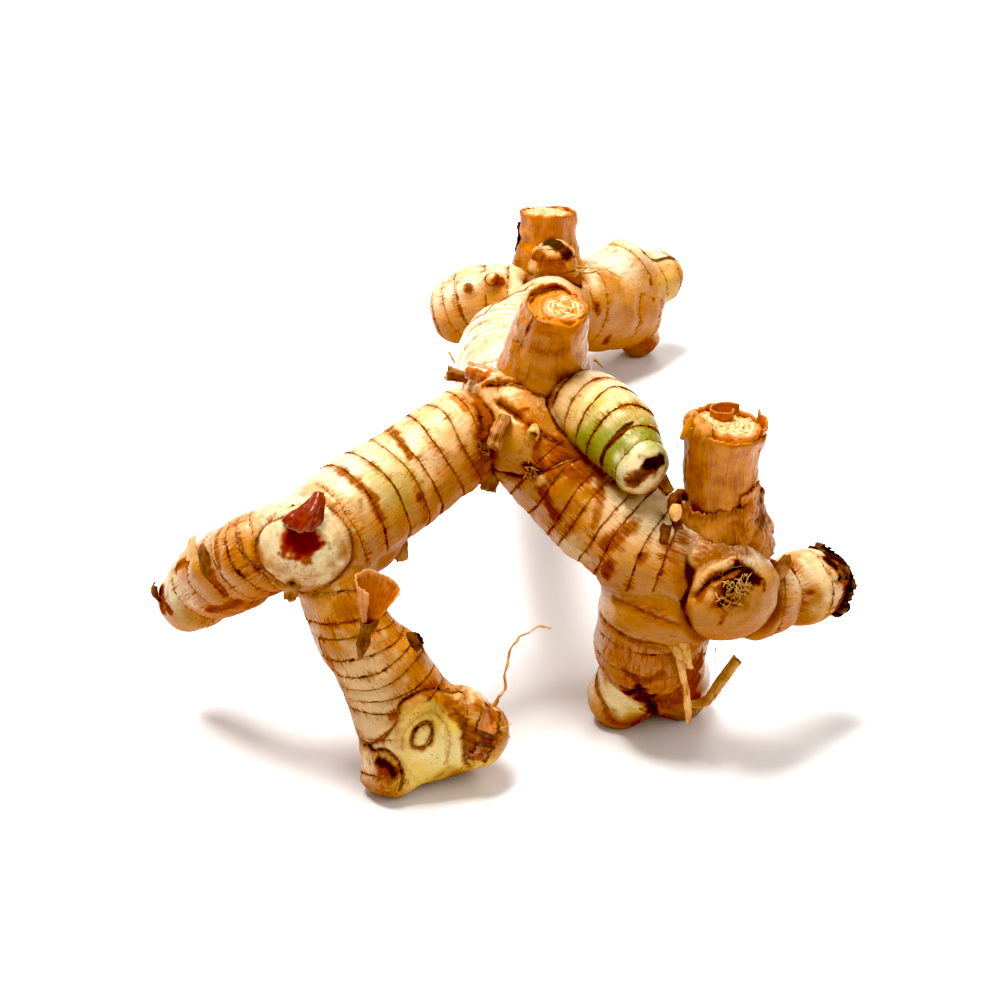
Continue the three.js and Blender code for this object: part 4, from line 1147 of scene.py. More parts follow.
def leaf(name, rows, size, slot, look, thick, crumple, seed, tint=None, instead=None, move=(0, 0, 0)):
    # a sheet through rows of points, size points across and down, tinted evenly or not at all
    grid = loft(rows, *size)
    if tint is not None:
        tint = np.ones(grid.shape) * tint
    sheetPiece(name, grid + move, slot, look, thick, crumple, seed, tint, instead)


stubEnd = dict(rough=0.35, wall=0.62, dome=0.55, rise=0.18)  # shares of the radius, and millimetres


def tubePiece(name, stations, slot, look, sides, flute, flat, seed, instead, hollow):
    # a root or stub: fluted, flattened, with a rough cut end that is hollow to a depth
    limb = Limb(stations, 0.5)
    rows = limb.rings(sides, flat=True)
    centres = rows.mean(1, keepdims=True)
    spokes = rows - centres
    angle = np.arange(sides) / sides * 2 * np.pi
    noise = waves(rows.reshape(-1, 3), 2.2, seed).reshape(rows.shape[:2])
    grow = 1 + flute * (0.6 * np.sin(angle * 3 + seed)[None, :] + 0.7 * noise)
    spokes = spokes * grow[:, :, None]
    if flat != 1:
        side = limb.side[:, None, :]
        spokes = spokes - side * (spokes * side).sum(2, keepdims=True) * (1 - flat)
    rows = centres + spokes
    rows[-1] += limb.tangent[-1] * (waves(rows[-1], 1.0, seed + 5) * stubEnd["rough"])[:, None]
    if hollow:
        inner = centres[-1] + spokes[-1] * stubEnd["wall"]
        rows = np.concatenate([rows, inner[None], (inner - limb.tangent[-1] * hollow)[None]])
    else:
        dome = centres[-1] + spokes[-1] * stubEnd["dome"] + limb.tangent[-1] * stubEnd["rise"]
        rows = np.concatenate([rows, dome[None]])
    points, faces = tubeMesh(rows)
    piece = meshPiece(name, points, faces, slot)
    along = np.concatenate([np.repeat(np.linspace(0, limb.length, len(rows)), sides), [0, limb.length]])
    turn = np.concatenate([np.tile(angle * 1.5, len(rows)), [0, 0]])
    end = np.zeros(len(points))
    end[-sides - 2:-2] = 1
    end[-1] = 1
    attach(piece, local=np.column_stack([turn, turn * 0 + seed, along]),
           tint=np.column_stack([end, end * 0, end * 0]))
    dress(piece, look, instead)


def fibreMaterial(name, light, middle, dark, rough, coat, lines=(1.6, 1.6, 0.12), streaks=0.35, shine=0.25):
    # dried leaf or root: fibres along the piece, blotches, dark and pale tints from the piece itself
    g = Graph(name)
    place = g.place()
    local = g.attribute("local", out=1)
    gloom, fair, ember = g.split(g.attribute("tint", out=1))
    fibre = g.fibres(local, lines, 3, 0.65)
    fine = g.fibres(local, tuple(k * 3 for k in lines), 2, 0.6)
    blotch = g.noise(place, 210, 4, 0.6)
    grain = g.noise(place, 900, 3, 0.6)
    g.color = g.mix(g.ramp(blotch + (fibre - 0.5) * 0.4, 0.3, 0.68), paint(*light), paint(*middle))
    g.lay(g.ramp(fine, 0.5, 0.78) * 0.35, *middle)
    g.lay(g.clamp(fair * (0.9 + (fibre - 0.5))), *light)
    g.lay(g.ramp(ember + (blotch - 0.5) * 0.4, 0.2, 0.8) * 0.8, 178, 90, 10)
    g.lay(g.ramp(fibre + (blotch - 0.5) * 0.6, 0.52, 0.74) * streaks, *dark)
    g.lay(g.ramp(grain, 0.67, 0.78) * 0.4, *dark)
    g.lay(g.ramp(gloom + (fibre - 0.5) * 0.4, 0.2, 0.8) * g.ramp(gloom, 0.0, 0.2) * 0.9, *dark)
    height = fibre * 0.4 + fine * 0.15 + grain * 0.06
    return g.set(Base_Color=g.color, Roughness=rough + (fine - 0.5) * 0.2, Coat_Weight=coat, Coat_Roughness=0.12,
                 Normal=g.bump(height, 0.7, 0.5 * mm), Specular_IOR_Level=shine, Specular_Tint=(1, 0.82, 0.6, 1))


def cutMaterial(name, light, middle, edge):
    # the cut face of a stem: rings of fibres with pores, orange towards the rim
    g = Graph(name)
    place = g.place()
    share, rim, _ = g.split(g.attribute("local", out=1))
    grain = g.noise(place, 800, 3, 0.6)
    wavy = g.noise(place, 180, 3, 0.6)
    rings = g.math("SINE", (rim + (wavy - 0.5) * 3.4) * 4.6) * 0.6
    pores = g.node("ShaderNodeTexVoronoi", {}, {"Vector": place, "Scale": 520})
    g.color = g.mix(g.ramp(rings + (grain - 0.5) * 1.5, -0.9, 1.1), paint(*middle), paint(*light))
    g.lay(g.ramp(wavy, 0.42, 0.7) * 0.6, *middle)
    g.lay(g.ramp(pores, 0.34, 0.14) * g.ramp(grain, 0.42, 0.56) * 0.85, 92, 42, 10)
    g.lay(g.ramp(share + (wavy - 0.5) * 0.3, 0.68, 1.0) * 0.9, *edge)
    height = rings * 0.15 + grain * 0.4 - g.ramp(pores, 0.3, 0.1) * 0.5
    normal = g.bump(height, 0.8, 0.5 * mm)
    return g.set(Base_Color=g.color, Roughness=0.55, Normal=normal, Specular_IOR_Level=0.12)


sawn = dict(steps=26, sides=72, skirt=2.5)


def cutFace(name, centre, normal, radius, look, seed, lift=0.5):
    # a sawn face: rings of points with a rough, slightly raised surface
    n = np.array(normal, float)
    n /= np.linalg.norm(n)
    side = np.cross(n, (0, 1, 0))
    side /= np.linalg.norm(side)
    other = np.cross(n, side)
    rows = []
    steps, sides = sawn["steps"], sawn["sides"]
    angle = np.arange(sides) / sides * 2 * np.pi
    for k in range(steps):
        share = 1 - k / steps
        rim = radius * share * (1 + 0.05 * np.sin(angle * 2 + seed) + 0.03 * np.sin(angle * 5 + seed))
        row = centre + np.outer(np.cos(angle) * rim, side) + np.outer(np.sin(angle) * rim, other)
        rise = waves(row, 4, seed) * 0.3 + waves(row, 1.2, seed + 1) * 0.12 + 0.05 * math.sin(share * radius * 3.2)
        rows.append(row + n * (lift * (1 - share ** 6) + rise)[:, None])
    rows = np.array([rows[0] - n * sawn["skirt"]] + rows)
    points, faces = tubeMesh(rows)
    faces = [face for face in faces if len(points) - 2 not in face]
    piece = meshPiece(name, points, faces, "stem_skin")
    share = np.concatenate([[1.0], 1 - np.arange(steps) / steps])
    x = np.concatenate([np.repeat(share, sides), [1, 0]])
    turn = np.concatenate([np.tile(angle, len(rows)), [0, 0]])
    attach(piece, local=np.column_stack([x, x * radius, turn]), tint=np.zeros((len(points), 3)))
    dress(piece, look)


def wrap(limb, start, end, low, high, lift, seed, cols=110, rows=30, ridges=0.2, flare=0.0, foot=0.0):
    # a leaf sheath round a stem, between two angles, root end first; low and high may go by angle
    grid = np.zeros((rows, cols, 3))
    for j in range(cols):
        u = j / (cols - 1)
        angle = start + (end - start) * u
        turn = math.radians(angle)
        bottom = low(angle) if callable(low) else low
        top = high(angle) if callable(high) else high
        for i in range(rows):
            v = i / (rows - 1)
            mark = bottom + (top - bottom) * v
            centre, tangent, side, other, radius = limb.at(mark)
            centre = centre + tangent * (mark - min(max(mark, 0), limb.length))
            wide = radius + lift + 0.5 * u * (abs(end - start) > 359) + flare * v ** 6 + foot * (1 - v) ** 4
            wide += ridges * (math.sin(turn * 5 + seed) * 0.6 + math.sin(turn * 11 + seed * 2 + v) * 0.35)
            wide += ridges * 0.8 * math.sin(v * 5 + seed + math.sin(turn * 2))
            grid[i, j] = centre + (side * math.cos(turn) + other * math.sin(turn)) * wide
    return grid


def edge(level, seed, rough=0.6, tilt=0.0, lean=0.0):
    # a torn rim: height by angle, with small random teeth
    rng = np.random.default_rng(seed)
    teeth = rng.normal(size=361)
    ends = np.concatenate([teeth[-4:], teeth, teeth[:4]])
    teeth = np.convolve(ends, (0.15, 0.25, 0.3, 0.25, 0.15), "same")[4:-4]
    broad = rng.uniform(0, 6, 3)

    def height(angle):
        turn = math.radians(angle)
        swell = math.sin(turn * 2 + broad[0]) * 0.5 + math.sin(turn * 3 + broad[1]) * 0.4
        slope = tilt * math.sin(turn) + lean * math.cos(turn)
        return level + slope + rough * (teeth[int(angle) % 360] + swell * 0.7)
    return height


def angleTint(grid, start, end, rules):
    # dark, pale and amber shares over a wrapped sheet, by angle and height
    rows, cols = grid.shape[:2]
    tint = np.zeros((rows, cols, 3))
    v, angle = np.meshgrid(np.linspace(0, 1, rows), np.linspace(start, end, cols), indexing="ij")
    for channel, middle, spread, low, high, strength in rules:
        around = np.abs((angle - middle + 180) % 360 - 180)
        share = strength * (1 - smooth(spread * 0.5, spread, around)) * smooth(low - 0.12, low + 0.05, v)
        share = share * (1 - smooth(high - 0.05, high + 0.12, v))
        tint[:, :, channel] = np.maximum(tint[:, :, channel], share)
    return tint


def wrapped(name, limb, span, low, high, lift, wave, rules, sheet, instead=None, **form):
    # a leaf sheath round a stem; sheet holds its slot, look, thickness, crumple and seed
    grid = wrap(limb, *span, low, high, lift, wave, **form)
    sheetPiece(name, grid, *sheet, angleTint(grid, *span, rules), instead)


class Hairs:
    # thin tapering tubes gathered into one mesh

    def __init__(self):
        self.points = []
        self.faces = []
        self.local = []

    def add(self, route, radius, tip, sides, wander=0.0, seed=0):
        line, marks = centreLine(route, 0.6)
        if wander:
            line = line + np.column_stack([waves(line, 5, seed + k) for k in range(3)]) * wander
        count = len(line)
        tangent = np.gradient(line, axis=0)
        tangent /= np.maximum(np.linalg.norm(tangent, axis=1), 1e-9)[:, None]
        side = np.cross(tangent, (0.3, 0.9, 0.2))
        side /= np.linalg.norm(side, axis=1)[:, None]
        other = np.cross(tangent, side)
        share = np.linspace(0, 1, count)
        wide = radius * (1 - (1 - tip) * share) * (1 + 0.18 * waves(line, 3, seed + 9))
        base = len(self.points)
        for i in range(count):
            for j in range(sides):
                turn = j / sides * 2 * math.pi
                self.points.append(line[i] + (side[i] * math.cos(turn) + other[i] * math.sin(turn)) * wide[i])
                self.local.append((turn, seed, marks[i]))
        self.faces += [tuple(base + k for k in face) for face in gridFaces(count, sides)]
        self.faces.append(tuple(base + j for j in range(sides))[::-1])
        self.faces.append(tuple(base + (count - 1) * sides + j for j in range(sides)))

    def tuft(self, centre, normal, count, length, radius, spread, lean):
        # short hairs around a spot, at random
        n = np.array(normal, float)
        n /= np.linalg.norm(n)
        for _ in range(count):
            offset = np.array([random.gauss(0, 1) for _ in range(3)])
            offset = (offset - n * offset.dot(n)) * spread * 0.5
            way = np.array([random.gauss(0, 1) for _ in range(3)])
            way = n * 0.6 + (way - n * way.dot(n)) * lean
            way /= np.linalg.norm(way)
            size = length * random.uniform(0.5, 1.2)
            start = np.array(centre) + offset - n * 0.4
            bend = np.array([random.gauss(0, 1) for _ in range(3)]) * size * 0.1
            end = start + way * size + n * random.uniform(-0.3, 0.5)
            self.add([start, start + way * size * 0.5 + bend, end], radius * random.uniform(0.7, 1.3), 0.3, 5, 0.1,
                     random.randint(1, 999))

    def finish(self, name, look, instead=None):
        piece = meshPiece(name, np.array(self.points), self.faces, "root_pale")
        attach(piece, local=np.array(self.local), tint=np.zeros((len(self.points), 3)))
        dress(piece, look, instead)


floor = makeStage()
g = Graph("floor_paint")
floor.data.materials.append(g.set(Base_Color=table["color"], Roughness=table["rough"]))
body = makeBody()
spots, normals, info = detailBody(body)
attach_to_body(body, "root")
body.data.materials.append(skinMaterial())
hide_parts("rhizome")
fringe(body, spots, normals, info)
print("body done")

# dried leaves and roots: light, middle and dark paint, roughness and coat
looks = {}
papery = (2.4, 2.4, 0.08)
for name, light, middle, dark, rough, coat, more in (
    ("stem_sheath", (192, 118, 38), (158, 80, 8), (84, 34, 6), 0.26, 0.0, dict(shine=0.4)),
    ("old_sheath", (196, 126, 58), (156, 76, 12), (74, 28, 5), 0.36, 0.0, dict(streaks=0.6)),
    ("dried_scale", (132, 78, 40), (84, 42, 20), (38, 17, 9), 0.6, 0.0, dict(shine=0.1)),
    ("pale_scale", (222, 160, 96), (176, 84, 20), (84, 30, 6), 0.28, 0.25, dict(lines=papery)),
    ("red_scale", (140, 44, 20), (104, 24, 8), (46, 12, 6), 0.32, 0.4, {}),
    ("amber_scale", (206, 120, 50), (168, 76, 10), (88, 30, 5), 0.26, 0.45, dict(lines=papery)),
    ("heel_scale", (190, 114, 60), (134, 68, 24), (66, 28, 8), 0.24, 0.1, dict(streaks=0.8)),
    ("burnt_scale", (112, 66, 38), (56, 27, 14), (18, 9, 5), 0.55, 0.0, dict(shine=0.08)),
    ("root_brown", (186, 130, 80), (134, 76, 34), (58, 25, 10), 0.65, 0.0, dict(streaks=0.8, shine=0.08)),
    ("root_pale", (214, 166, 102), (180, 116, 50), (104, 54, 16), 0.55, 0.0, dict(streaks=0.6, shine=0.12)),
):
    looks[name] = fibreMaterial(name, light, middle, dark, rough, coat, **more)
looks["cut_face"] = cutMaterial("cut_face", (236, 204, 156), (200, 138, 74), (184, 94, 14))
looks["cut_bed"] = cutMaterial("cut_bed", (214, 142, 58), (180, 96, 16), (186, 102, 16))

# the right stem: its last leaf, the old collar round its foot, and what is torn at its top
stemRight = Limb([(64.4, -142.5, 61, 11.8), (64.2, -142.5, 70, 11.2), (63, -143, 82, 10), (62.2, -143.5, 94, 9.8),
                  (62.8, -145, 105.5, 10.5)])
# its first rule darkens the stem's left edge (-88 degrees) as painted shade
wrapped("stem_right_sheath", stemRight, (200, 560), 2, edge(43.6, 41, 0.3, tilt=-1.0, lean=1.5), 0.0, 3,
        [(0, -88, 20, 0.3, 1.0, 0.6), (1, 0, 120, 0.0, 0.34, 0.75), (0, 95, 10, 0.5, 1.0, 0.5),
         (2, 70, 40, 0.5, 1.0, 0.3), (2, 0, 120, 0.42, 1.0, 0.35), (1, -25, 30, 0.9, 1.0, 0.4)],
        ("stem_skin", "stem_sheath", 0.9, 0.22, 11), "stem_right", ridges=0.24, flare=0.4)
grid = wrap(stemRight, 150, 510, 3, edge(21.0, 42, 1.0, tilt=0.6), 0.8, 5, ridges=0.45, foot=2.0)
tint = angleTint(grid, 150, 510, [
    (0, 0, 181, 0.9, 1.0, 0.5), (0, -84, 14, 0.4, 1.0, 0.4), (0, 62, 26, 0.5, 1.0, 0.6),
    (1, -40, 60, 0.1, 0.85, 0.75), (2, 20, 70, 0.72, 1.0, 0.5), (0, 20, 60, 0.0, 0.3, 0.3)])
grid[:, :, 0] -= np.linspace(4.0, 1.0, len(grid))[:, None] * np.clip((64.3 - grid[:, :, 0]) / 11, 0, 1)
sheetPiece("stem_right_collar", grid, "old_sheath", "old_sheath", 0.7, 0.5, 12, tint)
wrapped("stem_right_strip", stemRight, (24, 66), 9.5, edge(24.5, 43, 0.7, tilt=2.0), 1.5, 6,
        [(2, 44, 50, 0.0, 1.0, 0.8), (0, 50, 30, 0.0, 0.4, 0.9)],
        ("old_sheath", "stem_sheath", 0.5, 0.4, 13), "sheath_right", cols=40, rows=26, ridges=0.3)
top = stemRight.at(stemRight.length)[0]
cutFace("stem_right_cut", top + (0.2, 0, -1.2), (0.1, 0.1, 1.0), 9.8, "cut_face", 3)
roll = [[(62.6 + (5.0 - 0.18 * s) * math.cos(s * 0.44 + 0.5), -141.2 + (3.6 - 0.12 * s) * math.sin(s * 0.44 + 0.5),
          103.4 + k / 6 * (4.6 - 0.05 * s)) for s in range(15)] for k in range(7)]
leaf("leaf_roll", roll, (90, 10), "old_sheath", "stem_sheath", 0.45, 0.25, 14, (0, 0, 0.55), "leaf_rolled")
leaf("stem_right_flap", [
    [(52.4, -146, 104.5), (53.4, -150.4, 104.2), (55.6, -153.2, 103.8), (58.6, -154.8, 103.4)],
    [(52.2, -146.4, 107.4), (53, -150.6, 107.6), (55.2, -153.2, 107.2), (58.2, -154.2, 106.2)],
    [(54, -145.6, 109.4), (54.8, -148.6, 109.6), (56.4, -150.8, 109), (58.4, -151.6, 107.6)],
], (40, 14), "old_sheath", "old_sheath", 0.45, 0.55, 15, (0, 0.35, 0))
leaf("stem_right_peel", [
    [(51.8, -150, 109.2), (52.2, -151.2, 109.4), (53.2, -152, 109.6)],
    [(50.6, -151.4, 107.2), (51.2, -152.2, 107), (52, -152.8, 106.8)],
    [(49.6, -151.8, 103.6), (50, -152.2, 103.4), (50.6, -152.6, 103.4)],
], (8, 16), "old_sheath", "stem_sheath", 0.3, 0.15, 16)
wrapped("stem_right_spur", stemRight, (60, 116), 38.5, edge(45.8, 44, 0.5), 0.5, 7, [(2, 90, 60, 0.4, 1.0, 0.7)],
        ("old_sheath", "stem_sheath", 0.6, 0.3, 17), cols=26, rows=12, ridges=0.3)

# the middle stem: its last leaf, the older sheath behind it, and its cut
stemMiddle = Limb([(12.5, -108, 98, 14.6), (12.8, -109, 104, 12.8), (13.4, -110.5, 111, 11.2), (14.6, -113, 119, 9.8),
                   (16.4, -117.5, 128, 8.2)])
# its rules paint the side towards the lamp (-40 degrees) pale as painted light, the lower right (30 to 70 degrees)
# dark as painted shadow, and a dark band round its foot as painted shade in the crease with the body
wrapped("stem_middle_sheath", stemMiddle, (190, 550), -5, edge(31.6, 51, 0.25, lean=2.7), 0.0, 4,
        [(1, -40, 60, 0.0, 0.6, 0.85), (1, 46, 24, 0.2, 0.8, 0.6), (0, 70, 30, 0.0, 0.45, 0.5),
         (0, 30, 22, 0.0, 0.5, 0.6), (0, 44, 24, 0.0, 0.4, 0.9), (0, 0, 181, 0.0, 0.13, 0.6),
         (2, -60, 60, 0.85, 1.0, 0.5)],
        ("stem_skin", "stem_sheath", 0.9, 0.25, 21), "stem_middle", ridges=0.2, foot=2.5)
teeth = edge(31.4, 52, 0.5, lean=2.2)
wrapped("stem_middle_collar", stemMiddle, (140, 310), 12,
        lambda a: teeth(a) + 1.9 * max(0, math.cos(math.radians(a - 222))) ** 1.5, 0.35, 5,
        [(2, 225, 90, 0.4, 1.0, 0.25)],
        ("old_sheath", "stem_sheath", 0.5, 0.3, 22), "sheath_middle", cols=80, rows=24, ridges=0.25, flare=0.5)
wrapped("stem_middle_fold", stemMiddle, (-78, -24), -4, edge(24, 53, 0.8, tilt=5), 0.6, 6,
        [(1, -50, 60, 0.2, 0.9, 0.5)],
        ("old_sheath", "stem_sheath", 0.5, 0.3, 23), cols=40, rows=24, ridges=0.3, foot=2.5)
top, way = stemMiddle.at(stemMiddle.length)[0], np.array([0.08, -0.17, 0.98])
cutFace("stem_middle_bed", top - way * 0.5, way, 9.0, "cut_bed", 4)
cutFace("stem_middle_cut", top - way * 0.2 + (1.6, -0.9, 0), way, 6.6, "cut_face", 5, 0.3)

# the back stem, with a dark husk on its left
stemBack = Limb([(18.4, 101, 46, 12.4), (18.2, 101, 54, 11.4), (18.2, 101.5, 62, 10.4), (18.2, 102, 70.5, 10.4)])
wrapped("stem_back_sheath", stemBack, (190, 550), -4, edge(24.4, 61, 0.35, lean=1.4), 0.0, 7,
        [(2, 5, 46, 0.15, 0.95, 0.6), (2, 0, 100, 0.92, 1.0, 0.6), (0, -84, 22, 0.1, 1.0, 0.7),
         (1, -40, 20, 0.0, 0.6, 0.6), (1, 70, 20, 0.0, 0.8, 0.5)],
        ("stem_skin", "stem_sheath", 0.9, 0.3, 31), "stem_back", ridges=0.4, foot=3.0)
top, way = stemBack.at(stemBack.length)[0], np.array([0.02, 0.16, 1.0])
cutFace("stem_back_cut", top - way * 0.9, way, 9.5, "cut_face", 9)
wrapped("stem_back_husk", stemBack, (-110, -72), -6, edge(16, 62, 1.0, tilt=-3), 0.7, 8,
        [(0, -90, 70, 0.0, 1.0, 0.9)],
        ("old_sheath", "dried_scale", 0.6, 0.5, 32), cols=24, rows=24, ridges=0.4, foot=2.0)
print("stems done")

# the red scale of the left bud, ridged along
grid = loft([
    [(-60.2, -163.6, 84.2), (-57.6, -167.4, 83.9), (-54.3, -168.9, 83.4), (-51.5, -168, 83.5), (-49.6, -165.4, 84)],
    [(-58.6, -162.9, 85.4), (-56.2, -167.4, 85.4), (-53.6, -168.9, 85.2), (-51, -167.8, 85.1), (-48.9, -164.6, 85.1)],
    [(-55.2, -161.8, 87.4), (-53.6, -165.6, 88), (-51.9, -166.8, 88.2), (-50.2, -166, 88), (-48.5, -162.9, 87.3)],
    [(-52.2, -160.4, 89.4), (-51.4, -163, 90.2), (-50.3, -163.8, 90.5), (-49.3, -163.2, 90.3), (-48.2, -161.2, 89.5)],
    [(-50.9, -160, 91), (-50.4, -161, 91.7), (-49.9, -161.3, 91.9), (-49.4, -161.1, 91.7), (-48.9, -160.2, 91.1)],
], 42, 34)
ridge = np.sin(np.linspace(0, 1, 42) * 2 * np.pi * 4.2)[None, :, None] * np.linspace(0.5, 0.05, 34)[:, None, None]
sheetPiece("bud_leaf", grid + gridNormals(grid) * ridge * 0.7, "red_scale", "red_scale", 0.6, 0.12, 41, None,
           "bud_scale")


# the papery cup: place and size in millimetres, the angles it spans, and its grid
cup = dict(foot=(-36.2, -180.2, 59.6), rise=(2.9, 1.4, 13.2), start=-35, span=285, ribs=16, levels=8,
           narrow=0.8, widen=5.2, across=90, down=34, pleats=17)


def cupGrid(across, down):
    # a cup that opens upwards and leans over
    rows = []
    for k in range(cup["levels"] + 1):
        v = k / cup["levels"]
        centre = np.array([foot + rise * v for foot, rise in zip(cup["foot"], cup["rise"])])
        row = []
        for s in range(cup["ribs"] + 1):
            turn = math.radians(cup["start"] + cup["span"] * s / cup["ribs"])
            wide = cup["narrow"] + cup["widen"] * v ** 0.85 + 0.2 * v * math.sin(s * 2.4)
            lean = v ** 1.5 * (-2.2 * math.cos(turn) + 1.9 * math.sin(turn)) + 0.3 * v * math.sin(s * 1.7)
            row.append(centre + (wide * math.cos(turn), wide * 0.62 * math.sin(turn), lean))
        rows.append(row)
    return loft(rows, across, down)


# it is pleated, dark at its root and pale at its rim
grid = cupGrid(cup["across"], cup["down"])
fold = np.linspace(0, 1, cup["across"]) * 2 * np.pi * cup["pleats"]
tint = np.zeros(grid.shape)
tint[-3:, :, 1] = 1.0
tint[:, :, 1] += (0.5 + 0.5 * np.cos(fold))[None, :] * np.linspace(0, 0.7, cup["down"])[:, None] ** 4
tint[:, :, 2] = np.linspace(1.3, 0.5, cup["down"])[:, None]
tint[:12, :, 0] = np.linspace(1.0, 0, 12)[:, None]
pleat = np.sin(fold)[None, :, None] * np.linspace(0.0, 0.16, cup["down"])[:, None, None]
sheetPiece("papery_cup", grid + gridNormals(grid) * pleat, "pale_scale", "pale_scale", 0.28, 0.15, 42, tint,
           "scale_cup")
leaf("cup_tail", [
    [(-38.6, -178.6, 61.5), (-36, -181.4, 62), (-33, -180.6, 63.5)],
    [(-38.6, -179.2, 57), (-37, -181.2, 57), (-35, -180.2, 58)],
    [(-39.4, -178.4, 52.5), (-38.2, -179.8, 52.2), (-36.8, -179.2, 52.8)],
    [(-39.2, -177, 48.6), (-38.6, -177.8, 48.2), (-37.8, -177.4, 48.6)],
], (16, 24), "dried_scale", "dried_scale", 0.5, 0.35, 43)

# scales of the left branch
grid = loft([
    [(-85, -152.8, 61.5), (-82.8, -155.4, 62.4), (-80.4, -155.6, 64)],
    [(-85.8, -151.2, 65.2), (-83.6, -153.6, 66.4), (-81.4, -153.6, 67.6)],
    [(-86.4, -148.8, 68.2), (-84.8, -150.8, 69.6), (-83.2, -150.8, 70.4)],
    [(-86, -147, 70.2), (-85.2, -148, 71.2), (-84.4, -148.2, 71.6)],
], 16, 18)
foot = grid[0].mean(0)
grid = foot + (grid - foot) * (0.9, 0.9, 0.62)
sheetPiece("branch_flap", grid, "dried_scale", "dried_scale", 0.45, 0.35, 44, None, "scale_flap")
leaf("branch_paper", [
    [(-90, -147.6, 62), (-88, -149.8, 63), (-86, -150, 64.6)],
    [(-89.6, -145.8, 65.4), (-88, -147.8, 66.8), (-86.4, -148, 67.8)],
    [(-89, -144, 67.4), (-88, -145.4, 68.8), (-87, -145.8, 69.4)],
], (14, 12), "pale_scale", "pale_scale", 0.3, 0.35, 45, (0, 1, 0))
leaf("tip_shard", [
    [(-99.6, -136.2, 41), (-100.6, -137.2, 41.4), (-101.2, -136.6, 42.6)],
    [(-101, -137, 44), (-102, -138, 44.6), (-102.6, -137.4, 45.6)],
    [(-101, -136.8, 46.8), (-101.8, -137.6, 47.6), (-101.2, -137.2, 48.4)],
], (10, 14), "dried_scale", "dried_scale", 0.6, 0.35, 46, None, "tip_scrap")

# burnt scales round the tip of the right branch, and papers on the left foot's heel
branch, heel = limbs["rightBranch"]["limb"], limbs["leftFootHeel"]["limb"]
for number, (start, end, low, high, lift) in enumerate((
    (-170, -20, 33, 37.8, 0.3), (-95, 8, 31.5, 37.2, 0.7), (4, 62, 32.5, 38.4, 0.2), (30, 140, 34, 37.4, 0.4),
    (-60, 70, 36, 39.5, -0.6),
)):
    grid = wrap(branch, start, end, edge(low, 91 + number, 0.9), edge(high, 94 + number, 1.2), lift, 9,
                cols=60, rows=16, ridges=0.5)
    tint = np.zeros(grid.shape)
    tint[:, :, 0] = smooth(-0.6, 0.4, waves(grid.reshape(-1, 3), 6, 97 + number)).reshape(grid.shape[:2])
    tint[:, :, 1] = smooth(0.9, 1.3, waves(grid.reshape(-1, 3), 2.4, 98)).reshape(grid.shape[:2])
    sheetPiece("burnt_scale_%d" % number, grid, "dried_scale", "burnt_scale", 0.45, 0.8, 70 + number, tint)
for number, (start, end, low, high) in enumerate(((-58, -4, 2.5, 9.5), (4, 40, 4.0, 9.5))):
    wrapped("heel_paper_%d" % number, heel, (start, end), edge(low, 101 + number, 0.4), edge(high, 104 + number, 0.5),
            0.35, 8, [(0, start, 10, 0.0, 1.0, 0.9), (0, end, 10, 0.0, 1.0, 0.9), (0, 0, 181, 0.9, 1.0, 0.8),
                      (1, -24, 16, 0.2, 0.8, 0.8)],
            ("pale_scale", "heel_scale", 0.3, 0.45, 80 + number), cols=44, rows=22, ridges=0.25)

# the curled scale beside the right stem, in three pieces, and the ear behind the node
curlMove = (-3.0, 0, 0.6)
leaf("curled_scale", [
    [(51.4, -151, 76.5), (52.4, -154.6, 76), (54.2, -156.2, 76.5)],
    [(50, -150.8, 79), (51.4, -154.6, 79), (53.8, -156, 79.4)],
    [(50.4, -150.4, 82.2), (51, -154.2, 82.4), (53.4, -155.4, 82.8)],
    [(52.2, -151.4, 85), (52.6, -153.6, 85.8), (53.8, -154.8, 86.2)],
    [(53.4, -153, 87.6), (53.8, -153.6, 88), (54.2, -154.2, 88.2)],
], (24, 30), "dried_scale", "dried_scale", 0.5, 0.45, 47, None, "scale_curl", curlMove)
leaf("curled_scale_lip", [
    [(50.8, -156, 80.5), (52, -157.2, 80), (53.4, -157.2, 80.6)],
    [(50.4, -156.4, 82.6), (51.8, -157.9, 82.8), (53.6, -157.6, 82.8)],
    [(51.2, -155.4, 84.2), (52.2, -156.4, 84.8), (53.4, -156.4, 84.6)],
], (14, 12), "pale_scale", "pale_scale", 0.4, 0.25, 48, (0, 0.8, 0), None, curlMove)
leaf("curled_scale_tail", [
    [(45.6, -155.4, 70), (46.8, -156.6, 69.6), (49.4, -156.6, 71.2)],
    [(47.2, -154.2, 73.4), (48.6, -155.8, 73.2), (50.6, -156.2, 74)],
    [(48.8, -153.2, 77), (49.8, -154.8, 77.2), (51.2, -155.4, 77.6)],
], (12, 14), "dried_scale", "dried_scale", 0.4, 0.3, 49, None, None, curlMove)
leaf("node_ear", [
    [(76.4, -150.6, 56.6), (78, -152.2, 56.2), (80.2, -151.4, 57.2)],
    [(78, -150.6, 60), (79.6, -152.4, 59.8), (82.2, -151, 60.6)],
    [(80, -149.6, 62.8), (81.4, -151.2, 62.8), (83.2, -149.8, 63.2)],
    [(81.4, -148.8, 64.6), (82.2, -149.6, 64.9), (83, -149, 64.8)],
], (16, 18), "root_brown", "root_brown", 0.7, 0.35, 50, None, "scale_ear")
print("scales done")

